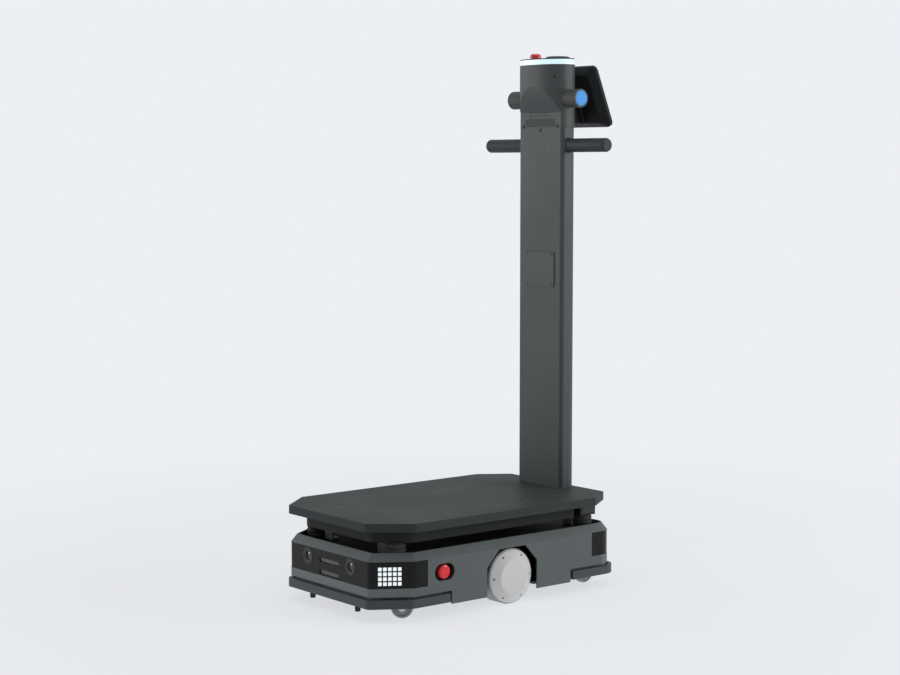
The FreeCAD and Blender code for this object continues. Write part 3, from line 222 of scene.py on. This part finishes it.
def tread_rubber(name, colour):
    """Polyurethane tread: scuffs that run round the wheel and a fine sanded bump."""
    graph = Graph(name)
    scuff = graph.noise(90.0, 5.0, 0.65, (1, 0.12, 1))
    cloud = graph.noise(22.0, 3.0)
    base = graph.blend(graph.spread(cloud, 0, 1), scaled(colour, 0.88), scaled(colour, 1.08))
    final = graph.blend(graph.spread(scuff, 0, 0.7, 0.5, 0.75), base, scaled(colour, 0.62))
    return graph.finish(
        final, graph.spread(scuff, 0.48, 0.75), graph.bump(graph.noise(1100.0, 3.0, 0.7), 0.00008, 0.5)
    )


def bare_metal(name, colour, roughness, stretch=(1, 1, 14), scale=220.0):
    """Plated or machined metal with fine lines along one direction and edges made lighter, partly as wear and
    partly as a painted highlight.
    """
    graph = Graph(name)
    lines = graph.noise(scale, 4.0, 0.7, stretch)
    cloud = graph.noise(16.0, 3.0)
    edge, rounded = graph.edges(0.0005)
    base = graph.blend(graph.spread(cloud, 0, 1), scaled(colour, 0.88), scaled(colour, 1.06))
    # Lighter edges: partly wear, partly a painted highlight.
    final = graph.blend(edge, base, scaled(colour, 1.2))
    return graph.finish(
        final,
        graph.spread(lines, roughness - 0.07, roughness + 0.12),
        graph.bump(lines, 0.00003, 0.5, rounded),
        Metallic=1.0,
    )


def dark_glass(name, colour, roughness=0.07):
    """Cover glass over a dark layer, with faint smears."""
    graph = Graph(name)
    smear = graph.noise(18.0, 5.0, 0.65)
    base = graph.blend(graph.spread(graph.noise(7.0), 0, 1), scaled(colour, 0.85), scaled(colour, 1.15))
    return graph.finish(
        base,
        graph.spread(smear, roughness, roughness + 0.1),
        graph.bump(graph.noise(300.0, 2.0), 0.000004, 0.3),
        IOR=1.5,
        Coat_Weight=0.6,
        Coat_Roughness=0.03,
    )


def lit_diffuser(name, colour, strength, ripple=0.12, scale=110.0, coat=0.3, shine=0.5):
    """Translucent plastic lit from behind, a little uneven from the lamps inside."""
    graph = Graph(name)
    lamps = graph.noise(scale, 1.0)
    glow = graph.blend(graph.spread(lamps, 0, 1), scaled(colour, 1 - ripple), scaled(colour, 1 + ripple))
    graph.link(glow, graph.shader.inputs["Emission Color"])
    return graph.finish(
        scaled(colour, 0.3),
        graph.spread(lamps, 0.3, 0.42),
        graph.bump(graph.cells(1300.0), 0.00003, 0.3),
        Emission_Strength=strength,
        Coat_Weight=coat,
        Specular_IOR_Level=shine,
    )


body_paint = coated_metal("satin body coat", srgb(83, 89, 89), 0.46)
skirt_paint = coated_metal("satin skirt coat", srgb(98, 104, 104), 0.48)
bumper_paint = coated_metal("satin bumper coat", srgb(64, 68, 68), 0.5)
deck_paint = coated_metal(
    "grained deck coat", srgb(56, 59, 59), 0.55, grain=900.0, depth=0.0001, edge_wear_and_highlight=1.3, shine=0.06
)
mast_paint = coated_metal("satin mast coat", srgb(61, 66, 66), 0.46, grain=1800.0, edge_wear_and_highlight=1.25)
inner_paint = coated_metal("matt black coat", srgb(38, 39, 41), 0.55, edge_wear_and_highlight=1.6)
# A black frame coat, made darker still as painted shade for the gap under the deck.
frame_coat_and_shade = coated_metal("black frame coat with painted shade", srgb(30, 33, 33), 0.65, edge_wear_and_highlight=1.4, shine=0.15)
# Near-black painted shade: the top tray under the deck is coloured as the shade that fills that cavity.
tray_shade_paint = coated_metal("near-black tray painted shade", srgb(18, 19, 20), 0.7, edge_wear_and_highlight=1.5, shine=0.1)
handle_paint = coated_metal("satin handle coat", srgb(40, 47, 49), 0.55, grain=1800.0, edge_wear_and_highlight=1.25, shine=0.2)
cover_paint = coated_metal("light satin coat", srgb(200, 200, 198), 0.4, grain=1600.0, edge_wear_and_highlight=1.08, tone=0.03)
band_gloss = moulded(
    "dark tinted gloss", srgb(20, 20, 20), 0.3, grain=1400.0, depth=0.000006, shine=0.15
)
black_plastic = moulded("black grained plastic", srgb(40, 41, 43), 0.5)
case_plastic = moulded("dark grey case plastic", srgb(62, 65, 66), 0.45, grain=1100.0)
sensor_plastic = moulded("sensor window plastic", srgb(84, 85, 86), 0.35, grain=1200.0)
tablet_plastic = moulded("tablet housing", srgb(24, 27, 28), 0.5, grain=1100.0, shine=0.12)
ring_plastic = moulded("camera trim ring", srgb(74, 74, 76), 0.35, grain=1200.0)
pod_plastic = moulded("brown-grey lamp housing", srgb(63, 63, 63), 0.55, shine=0.25)
red_plastic = moulded(
    "moulded red", srgb(214, 30, 38), 0.28, grain=500.0, depth=0.00002, coat=0.35, edge_wear_and_highlight=1.15
)
# Near-black painted shade for shallow screw holes and perforation, standing in for the shade inside deep
# holes.
hole_shade_black = moulded("painted hole shade", srgb(6, 6, 7), 0.6)
black_rubber = rubber("black rubber", srgb(33, 36, 36))
grey_rubber = rubber("grey caster tread", srgb(140, 144, 145), 0.62, dust=1.15)
tyre_rubber = tread_rubber("grey wheel tread", srgb(150, 150, 148))
bright_steel = bare_metal("zinc-plated steel", srgb(186, 186, 182), 0.34)
spring_steel = bare_metal("spring steel", srgb(120, 122, 126), 0.3)
dark_steel = bare_metal("blackened screw steel", srgb(70, 71, 74), 0.36)
motor_metal = bare_metal("turned motor metal", srgb(132, 134, 136), 0.38, (14, 1, 1))
screen_glass = dark_glass("screen cover glass", srgb(20, 22, 25))
lens_glass = dark_glass("camera lens glass", srgb(6, 7, 9), 0.12)
ring_light = lit_diffuser("ring diffuser", srgb(218, 246, 255), 0.78, 0.04)
square_light = lit_diffuser("square lamp diffuser", srgb(238, 246, 252), 0.8, 0.05, 60.0)
blue_light = lit_diffuser("blue lamp diffuser", srgb(76, 150, 222), 0.7, 0.1, 40.0, 0.0, 0.12)

NODE_FINISH = {
    "chassis_pan": inner_paint,
    "frame_brackets": inner_paint,
    "battery_pack": case_plastic,
    "drive_electronics": motor_metal,
    "front_skirt": skirt_paint,
    "rear_skirt": skirt_paint,
    "front_sensor_band": band_gloss,
    "rear_sensor_band": band_gloss,
    "led_matrices": square_light,
    "front_cameras": black_plastic,
    "slot_sensors": sensor_plastic,
    "top_cover": body_paint,
    "top_tray": tray_shade_paint,
    "stop_cups": black_plastic,
    "caster_plates": bright_steel,
    "front_bumper": bumper_paint,
    "rear_bumper": bumper_paint,
    "deck_plate": deck_paint,
    "deck_subframe": frame_coat_and_shade,
    "deck_mounts": black_rubber,
    "deck_legs": body_paint,
    "mast_foot": inner_paint,
    "mast_column": mast_paint,
    "mast_hatch": mast_paint,
    "head_shell": mast_paint,
    "speaker_panel": mast_paint,
    "light_ring": ring_light,
    "head_cap": black_plastic,
    "antenna_disc": black_plastic,
    "top_stop_button": red_plastic,
    "signal_lamps": pod_plastic,
    "signal_lenses": blue_light,
    "handle_tube": handle_paint,
    "handle_caps": handle_paint,
    "handle_collars": black_rubber,
    "tablet_shell": tablet_plastic,
    "tablet_glass": screen_glass,
    "tablet_bracket": inner_paint,
    "side_panel": body_paint,
    "stop_button": red_plastic,
    "drive_tyre": tyre_rubber,
    "drive_hub": motor_metal,
    "wheel_cover": cover_paint,
    "drive_arm": inner_paint,
    "drive_spring": spring_steel,
    "caster_fork": bright_steel,
    "caster_wheel": grey_rubber,
}


def kind_of(node):
    """The node's name without the words that say which corner or side it is on."""
    for word in ("front_left_", "front_right_", "rear_left_", "rear_right_", "left_", "right_"):
        if node.startswith(word) and node[len(word):] in NODE_FINISH:
            return node[len(word):]
    return node


for name, item in nodes.items():
    item.data.materials.clear()
    item.data.materials.append(NODE_FINISH[kind_of(name)])


# ---- mesh helpers ----
def frame_along(direction):
    """Two unit vectors square to a direction."""
    first = direction.cross(UP if abs(direction.z) < 0.9 else AHEAD).normalized()
    return first, direction.cross(first).normalized()


def lathe(profile, centre, direction, steps=40, hexed=()):
    """Vertices and faces of a turned form from (radius, height) points.

    Points whose index is in hexed follow a hexagon in place of a circle."""
    direction = direction.normalized()
    first, second = frame_along(direction)
    verts = []
    rings = []
    for index, (radius, height) in enumerate(profile):
        if radius == 0:
            rings.append([len(verts)])
            verts.append(centre + direction * height)
            continue
        ring = []
        for step in range(steps):
            angle = 2 * math.pi * step / steps
            reach = radius
            if index in hexed:
                turned = (angle + math.pi / 6) % (math.pi / 3) - math.pi / 6
                reach = radius / math.cos(turned)
            ring.append(len(verts))
            around = first * reach * math.cos(angle), second * reach * math.sin(angle)
            verts.append(centre + direction * height + around[0] + around[1])
        rings.append(ring)
    pairs = list(zip(rings, rings[1:]))
    if len(rings[0]) > 1 and len(rings[-1]) > 1:
        pairs.append((rings[-1], rings[0]))
    faces = []
    for low, high in pairs:
        for step in range(steps):
            following = (step + 1) % steps
            if len(low) == 1:
                faces.append((low[0], high[following], high[step]))
            elif len(high) == 1:
                faces.append((low[step], low[following], high[0]))
            else:
                faces.append((low[step], low[following], high[following], high[step]))
    return verts, faces


CREASE = math.radians(35)


def piece(name, parts, finish, body):
    """One object made of several (vertices, faces) parts, riding on a body."""
    verts = []
    faces = []
    for part_verts, part_faces in parts:
        base = len(verts)
        verts += [tuple(vert) for vert in part_verts]
        faces += [tuple(index + base for index in face) for face in part_faces]
    mesh = bpy.data.meshes.new(name)
    mesh.from_pydata(verts, [], faces)
    mesh.update()
    mesh.validate()
    mesh.materials.append(finish)
    item = bpy.data.objects.new(name, mesh)
    bpy.context.scene.collection.objects.link(item)
    bpy.context.view_layer.objects.active = item
    item.select_set(True)
    bpy.ops.object.mode_set(mode="EDIT")
    bpy.ops.mesh.select_all(action="SELECT")
    bpy.ops.mesh.normals_make_consistent(inside=False)
    bpy.ops.object.mode_set(mode="OBJECT")
    bpy.ops.object.shade_smooth_by_angle(angle=CREASE)
    item.select_set(False)
    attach(item, body)
    return item


def seat(node, point, direction):
    """Where a line from point along direction first meets a CAD node, and the normal there."""
    hit, place, normal, _ = nodes[node].ray_cast(Vector(point), Vector(direction))
    if not hit:
        raise RuntimeError("no surface of " + node + " at " + str(tuple(point)))
    return place, normal


def socket_screw(centre, direction, radius, proud=0.0011):
    """Button-head screw with a hexagon socket."""
    socket = radius * 0.46
    profile = [
        (0, proud - radius * 0.42),
        (socket, proud - radius * 0.42),
        (socket, proud - 0.0001),
        (radius * 0.62, proud),
        (radius * 0.9, proud * 0.62),
        (radius, proud * 0.1),
        (radius, -0.0004),
        (radius * 0.8, -0.0004),
        (radius * 0.8, proud - radius * 0.6),
        (0, proud - radius * 0.6),
    ]
    return lathe(profile, centre, direction, 24, hexed=(1, 2))


def screw_hole(centre, direction, radius):
    """Countersunk hole: a ring round a shallow sunk centre; its near-black finish is painted shade for the
    depth of a hole.
    """
    profile = [
        (0, 0.00012),
        (radius * 0.7, 0.00012),
        (radius * 0.85, 0.0003),
        (radius, 0.00022),
        (radius, -0.0004),
        (0, -0.0004),
    ]
    return lathe(profile, centre, direction, 28)


def stacked(rings):
    """A closed form through outlines of equal length, with flat ends."""
    verts = [vert for ring in rings for vert in ring]
    size = len(rings[0])
    faces = [tuple(range(size)), tuple(range(len(verts) - size, len(verts)))]
    for level in range(len(rings) - 1):
        for step in range(size):
            first = level * size + step
            second = level * size + (step + 1) % size
            faces.append((first, second, second + size, first + size))
    return verts, faces


def rounded_bar(middle, y_low, y_high, height, depth, steps=10):
    """A bar along Y with round ends and a small bevel round its front face."""
    radius = height / 2
    rings = []
    for back, shrink in ((depth, 0), (0.4 * MM, 0), (0, 0.4 * MM)):
        ring = []
        for start, centre_y in ((-90, y_high - radius), (90, y_low + radius)):
            for step in range(steps + 1):
                angle = math.radians(start + 180 * step / steps)
                reach = radius - shrink
                y = centre_y + reach * math.cos(angle)
                ring.append(middle + Vector((-back, y, reach * math.sin(angle))))
        rings.append(ring)
    return stacked(rings)


def block(middle, across, up, out, width, height, depth, taper=0.0, bevel=0.4):
    """A block whose outer face is centred on middle; taper widens its back at both ends."""
    rings = []
    for back, grow in ((depth, taper), (bevel * MM, 0), (0, -bevel * MM)):
        side = across * (width / 2 + grow)
        rise = up * (height / 2 + min(grow, 0))
        centre = middle - out * back
        rings.append([centre - side - rise, centre + side - rise, centre + side + rise, centre - side + rise])
    return stacked(rings)


# ---- mast and head details ----
# Lengths in capitals are in millimetres.
HATCH_SCREW_INSET_Y = 7.6
HATCH_SCREW_INSET_Z = 6
HATCH_SCREW_R = 2.6
HANDLE_SCREW_Y = 29.6
HANDLE_SCREW_R = 2.8
PANEL_HOLE_Y = 61.4
PANEL_HOLE_RISE = 1.5
PANEL_HOLE_R = 4.5
MAST_HOLE_DROP = 8.5
MAST_HOLE_R = 4.3
DOT_ROWS = 4
DOT_COLUMNS = 21
DOT_PITCH_Y = 5.2
DOT_PITCH_Z = 4.4
DOT_RISE = 2.6
EYE_Y = 63.5
EYE_DROP = 30.5

_, mast_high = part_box("mast_column")
hatch_low, hatch_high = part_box("mast_hatch")
front_x = mast_high.x + 0.2

screws = []
for y in (hatch_low.y + HATCH_SCREW_INSET_Y * MM, hatch_high.y - HATCH_SCREW_INSET_Y * MM):
    for z in (hatch_low.z + HATCH_SCREW_INSET_Z * MM, hatch_high.z - HATCH_SCREW_INSET_Z * MM):
        place, normal = seat("mast_hatch", (front_x, y, z), -AHEAD)
        screws.append(socket_screw(place, normal, HATCH_SCREW_R * MM))
piece("hatch_screws", screws, dark_steel, "chassis")

handle_low, handle_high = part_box("handle_tube")
handle_z = (handle_low.z + handle_high.z) / 2
screws = []
for y in (-HANDLE_SCREW_Y * MM, HANDLE_SCREW_Y * MM):
    place, normal = seat("mast_column", (front_x, y, handle_z), -AHEAD)
    screws.append(socket_screw(place, normal, HANDLE_SCREW_R * MM))
piece("handle_screws", screws, dark_steel, "chassis")

panel_low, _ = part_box("speaker_panel")
holes = []
for y in (-PANEL_HOLE_Y * MM, PANEL_HOLE_Y * MM):
    start = (front_x, y, panel_low.z + PANEL_HOLE_RISE * MM)
    place, normal = seat("speaker_panel", start, -AHEAD)
    holes.append(screw_hole(place, normal, PANEL_HOLE_R * MM))
place, normal = seat("mast_column", (front_x, 0, panel_low.z - MAST_HOLE_DROP * MM), -AHEAD)
holes.append(screw_hole(place, normal, MAST_HOLE_R * MM))
piece("panel_screw_holes", holes, hole_shade_black, "chassis")

# The perforation is shallow dimples; their near-black finish is painted shade for the depth of the holes.
dots = []
dot_profile = [(0, 0.00003), (1.7 * MM, 0.00006), (1.9 * MM, -0.0001), (0, -0.0001)]
for row in range(DOT_ROWS):
    for column in range(DOT_COLUMNS):
        y = (column - DOT_COLUMNS // 2) * DOT_PITCH_Y * MM
        start = (front_x, y, panel_low.z + (DOT_RISE + DOT_PITCH_Z * row) * MM)
        place, normal = seat("speaker_panel", start, -AHEAD)
        dots.append(lathe(dot_profile, place, normal, 10))
piece("speaker_perforation", dots, hole_shade_black, "chassis")

# A small camera looks out of the head's rounded front, off the middle.
_, head_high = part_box("head_shell")
eye_y = EYE_Y * MM
eye_z = head_high.z - EYE_DROP * MM
above, eye_normal = seat("head_shell", (front_x, eye_y, eye_z + 9 * MM), -AHEAD)
eye_centre = Vector((above.x, eye_y, eye_z))
profile = [
    (0, -2.2 * MM),
    (1.8 * MM, -2.6 * MM),
    (3.0 * MM, -3.4 * MM),
    (3.7 * MM, -1.6 * MM),
    (4.9 * MM, -1.1 * MM),
    (4.9 * MM, -7 * MM),
    (0, -7 * MM),
]
lens = lathe(profile, eye_centre, eye_normal, 32)
piece("head_camera_lens", [lens], lens_glass, "chassis")

# ---- front sensors ----
CAMERA_INSET_Y = 19
SLOT_DEPTH = 3.4
STUD_Y = 88
STUD_INSET_X = 17
STUD_TOP = 34
LIP_Z = 49.6
LIP_REACH = 38.6
BEAM_INSET_X = 24
BEAM_MIDDLE_Z = 19.25

camera_low, camera_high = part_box("front_cameras")
camera_z = (camera_low.z + camera_high.z) / 2
camera_y = camera_high.y - CAMERA_INSET_Y * MM
lenses = []
barrels = []
for side in (-1, 1):
    centre = Vector((camera_high.x, side * camera_y, camera_z))
    lens = [
        (0, -3.4 * MM),
        (3 * MM, -3.55 * MM),
        (6 * MM, -4.0 * MM),
        (8.4 * MM, -4.7 * MM),
        (8.4 * MM, -5.2 * MM),
        (0, -5.2 * MM),
    ]
    lenses.append(lathe(lens, centre, AHEAD, 48))
    for radius, depth in ((12.9, 0.15), (11.5, 1.4), (10.1, 2.9)):
        ring = [
            (radius * MM, -depth * MM - 0.6 * MM),
            ((radius + 0.5) * MM, -depth * MM),
            ((radius - 0.1) * MM, -depth * MM + 0.1 * MM),
            ((radius - 0.6) * MM, -depth * MM - 0.6 * MM),
        ]
        barrels.append(lathe(ring, centre, AHEAD, 48))
piece("front_camera_lenses", lenses, lens_glass, "chassis")
piece("front_camera_rings", barrels, ring_plastic, "chassis")

# Grey windows of the range sensors fill the slots up to the dark emitter at one end.
slot_low, slot_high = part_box("slot_sensors")
windows = []
for z in (slot_high.z - 4 * MM, slot_low.z + 12.5 * MM):
    windows.append(rounded_bar(
        Vector((camera_high.x - SLOT_DEPTH * MM, 0, z)), -34.5 * MM, 27 * MM, 7.2 * MM, 2.2 * MM
    ))
piece("slot_sensor_windows", windows, sensor_plastic, "chassis")

# Two short studs hang from the front edge of the floor pan.
_, skirt_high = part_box("front_skirt")
studs = []
for y in (-STUD_Y * MM, STUD_Y * MM):
    foot = Vector((skirt_high.x - STUD_INSET_X * MM, y, STUD_TOP * MM))
    profile = [
        (0, 0),
        (5.4 * MM, 0),
        (5.4 * MM, 10 * MM),
        (6.6 * MM, 10.5 * MM),
        (6.6 * MM, 19 * MM),
        (5.4 * MM, 20.4 * MM),
        (0, 20.8 * MM),
    ]
    studs.append(lathe(profile, foot, -UP, 24))
piece("front_studs", studs, black_plastic, "chassis")

# Foam lips close the skirt's caster reliefs above the height that the wheels reach.
joints = frame["record"]["behaviour"]["joints"]
swivels = {joint["name"]: joint["pos_m"] for joint in joints if "pos_m" in joint}
lips = []
for side, name in ((1, "front_left_swivel"), (-1, "front_right_swivel")):
    outward = Vector((55, 86 * side, 0)).normalized()
    pin = Vector((swivels[name][0], swivels[name][1], LIP_Z * MM))
    lips.append(block(
        pin + outward * LIP_REACH * MM, outward.cross(UP), UP, outward,
        51 * MM, 5.6 * MM, 2.7 * MM, 3.4 * MM, 0.3,
    ))
piece("skirt_relief_lips", lips, black_rubber, "chassis")

# Plastic plugs close the ends of the beam over the rear mounts.
frame_low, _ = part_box("deck_subframe")
plugs = []
for side in (-1, 1):
    wall = Vector((frame_low.x + BEAM_INSET_X * MM, side * 0.4, frame_low.z + 1.5 * MM))
    place, normal = seat("deck_subframe", wall, -LEFT * side)
    plugs.append(block(
        Vector((wall.x, place.y + side * 0.6 * MM, frame_low.z + BEAM_MIDDLE_Z * MM)),
        AHEAD, UP, LEFT * side, 41.6 * MM, 32.1 * MM, 6 * MM, 0.0, 0.8,
    ))
piece("beam_end_plugs", plugs, black_plastic, "chassis")

# ---- drive wheels ----
COVER_SCREWS = 6
COVER_SCREW_CIRCLE_R = 54
COVER_SCREW_R = 2.5

for side, body in ((1, "left_wheel"), (-1, "right_wheel")):
    cover = body.replace("wheel", "wheel_cover")
    low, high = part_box(cover)
    middle = (low + high) / 2
    outward = LEFT * side
    screws = []
    for index in range(COVER_SCREWS):
        angle = math.radians(360 / COVER_SCREWS * index)
        start = Vector((
            middle.x + COVER_SCREW_CIRCLE_R * MM * math.cos(angle),
            side * 0.4,
            middle.z + COVER_SCREW_CIRCLE_R * MM * math.sin(angle),
        ))
        place, normal = seat(cover, start, -outward)
        screws.append(socket_screw(place, normal, COVER_SCREW_R * MM, 0.0007))
    piece(body + "_cover_screws", screws, dark_steel, body)

# ---- floor, backdrop, lights and camera ----
BACKGROUND = srgb(237, 239, 243)
FLOOR_GLOW = 0.75
FLOOR_RADIUS = 40.0


def floor_disc(radius, steps=96):
    """Round pale floor that takes a soft shadow and fades out into the background."""
    graph = Graph("pale floor")
    shader = graph.shader
    cloud = graph.noise(1.2, 2.0)
    pale = graph.blend(graph.spread(cloud, 0, 1), srgb(246, 247, 250), srgb(250, 251, 253))
    graph.link(pale, shader.inputs["Base Color"])
    shader.inputs["Roughness"].default_value = 0.9
    shader.inputs["Specular IOR Level"].default_value = 0.0
    distance = graph.add("ShaderNodeVectorMath", operation="LENGTH")
    graph.link(graph.place, distance.inputs[0])
    fade = graph.spread(distance.outputs["Value"], FLOOR_GLOW, 1, 0.9, 2.4)
    glow = graph.add("ShaderNodeEmission")
    glow.inputs["Color"].default_value = BACKGROUND
    mix = graph.add("ShaderNodeMixShader")
    graph.link(fade, mix.inputs["Fac"])
    graph.link(shader.outputs[0], mix.inputs[1])
    graph.link(glow.outputs[0], mix.inputs[2])
    output = graph.tree.nodes["Material Output"]
    graph.link(mix.outputs[0], output.inputs["Surface"])
    verts = [(0, 0, 0)]
    faces = []
    for step in range(steps):
        angle = 2 * math.pi * step / steps
        verts.append((radius * math.cos(angle), radius * math.sin(angle), 0))
        faces.append((0, 1 + step, 1 + (step + 1) % steps))
    mesh = bpy.data.meshes.new("floor")
    mesh.from_pydata(verts, [], faces)
    mesh.materials.append(graph.material)
    item = bpy.data.objects.new("floor", mesh)
    bpy.context.scene.collection.objects.link(item)


floor_disc(FLOOR_RADIUS)

world = bpy.data.worlds.new("studio")
bpy.context.scene.world = world
world.use_nodes = True
tree = world.node_tree
tree.nodes.clear()
seen = tree.nodes.new("ShaderNodeBackground")
seen.inputs["Color"].default_value = BACKGROUND
felt = tree.nodes.new("ShaderNodeBackground")
felt.inputs["Color"].default_value = (0.92, 0.95, 1.0, 1.0)
felt.inputs["Strength"].default_value = 0.3
rays = tree.nodes.new("ShaderNodeLightPath")
mix = tree.nodes.new("ShaderNodeMixShader")
output = tree.nodes.new("ShaderNodeOutputWorld")
# Camera, glossy and transmission rays meet the background; the rest feel a dimmer sky.
shown = rays.outputs["Is Camera Ray"]
for kind in ("Is Glossy Ray", "Is Transmission Ray"):
    either = tree.nodes.new("ShaderNodeMath")
    either.operation = "MAXIMUM"
    tree.links.new(shown, either.inputs[0])
    tree.links.new(rays.outputs[kind], either.inputs[1])
    shown = either.outputs[0]
tree.links.new(shown, mix.inputs["Fac"])
tree.links.new(felt.outputs[0], mix.inputs[1])
tree.links.new(seen.outputs[0], mix.inputs[2])
tree.links.new(mix.outputs[0], output.inputs["Surface"])


def softbox(name, place, target, width, height, power):
    """Rectangular area lamp that looks from place to target."""
    lamp = bpy.data.lights.new(name, "AREA")
    lamp.shape = "RECTANGLE"
    lamp.size = width
    lamp.size_y = height
    lamp.energy = power
    item = bpy.data.objects.new(name, lamp)
    item.location = place
    item.rotation_euler = (Vector(target) - Vector(place)).to_track_quat("-Z", "Y").to_euler()
    bpy.context.scene.collection.objects.link(item)


softbox("side softbox", (-2.9, 3.0, 1.5), (0, 0, 0.55), 2.6, 2.4, 88)
softbox("front softbox", (3.0, -4.6, 1.2), (0, 0, 0.5), 3.4, 2.6, 92)
softbox("top softbox", (0.3, 0.3, 4.2), (0, 0, 0.2), 3.6, 3.6, 56)

CAMERA_AZIMUTH = math.radians(51.197)
CAMERA_PITCH = math.radians(5.158)
CAMERA_DISTANCE = 4.5052
CAMERA_HEIGHT = 1.0118
CAMERA_LENS = 76.6
CAMERA_SENSOR = 36.0
FOCUS_BEHIND_DECK_MIDDLE = 0.0106

deck_low, deck_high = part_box("deck_plate")
focus_x = (deck_low.x + deck_high.x) / 2 - FOCUS_BEHIND_DECK_MIDDLE
focus = Vector((focus_x, 0, CAMERA_HEIGHT))
camera = bpy.data.cameras.new("camera")
camera.lens = CAMERA_LENS
camera.sensor_width = CAMERA_SENSOR
camera_item = bpy.data.objects.new("camera", camera)
away = Vector((math.cos(CAMERA_AZIMUTH), math.sin(CAMERA_AZIMUTH), 0))
camera_item.location = focus + away * CAMERA_DISTANCE
look = -away * math.cos(CAMERA_PITCH) - UP * math.sin(CAMERA_PITCH)
camera_item.rotation_euler = look.to_track_quat("-Z", "Y").to_euler()
bpy.context.scene.collection.objects.link(camera_item)
bpy.context.scene.camera = camera_item
bpy.context.scene.view_settings.view_transform = "Standard"
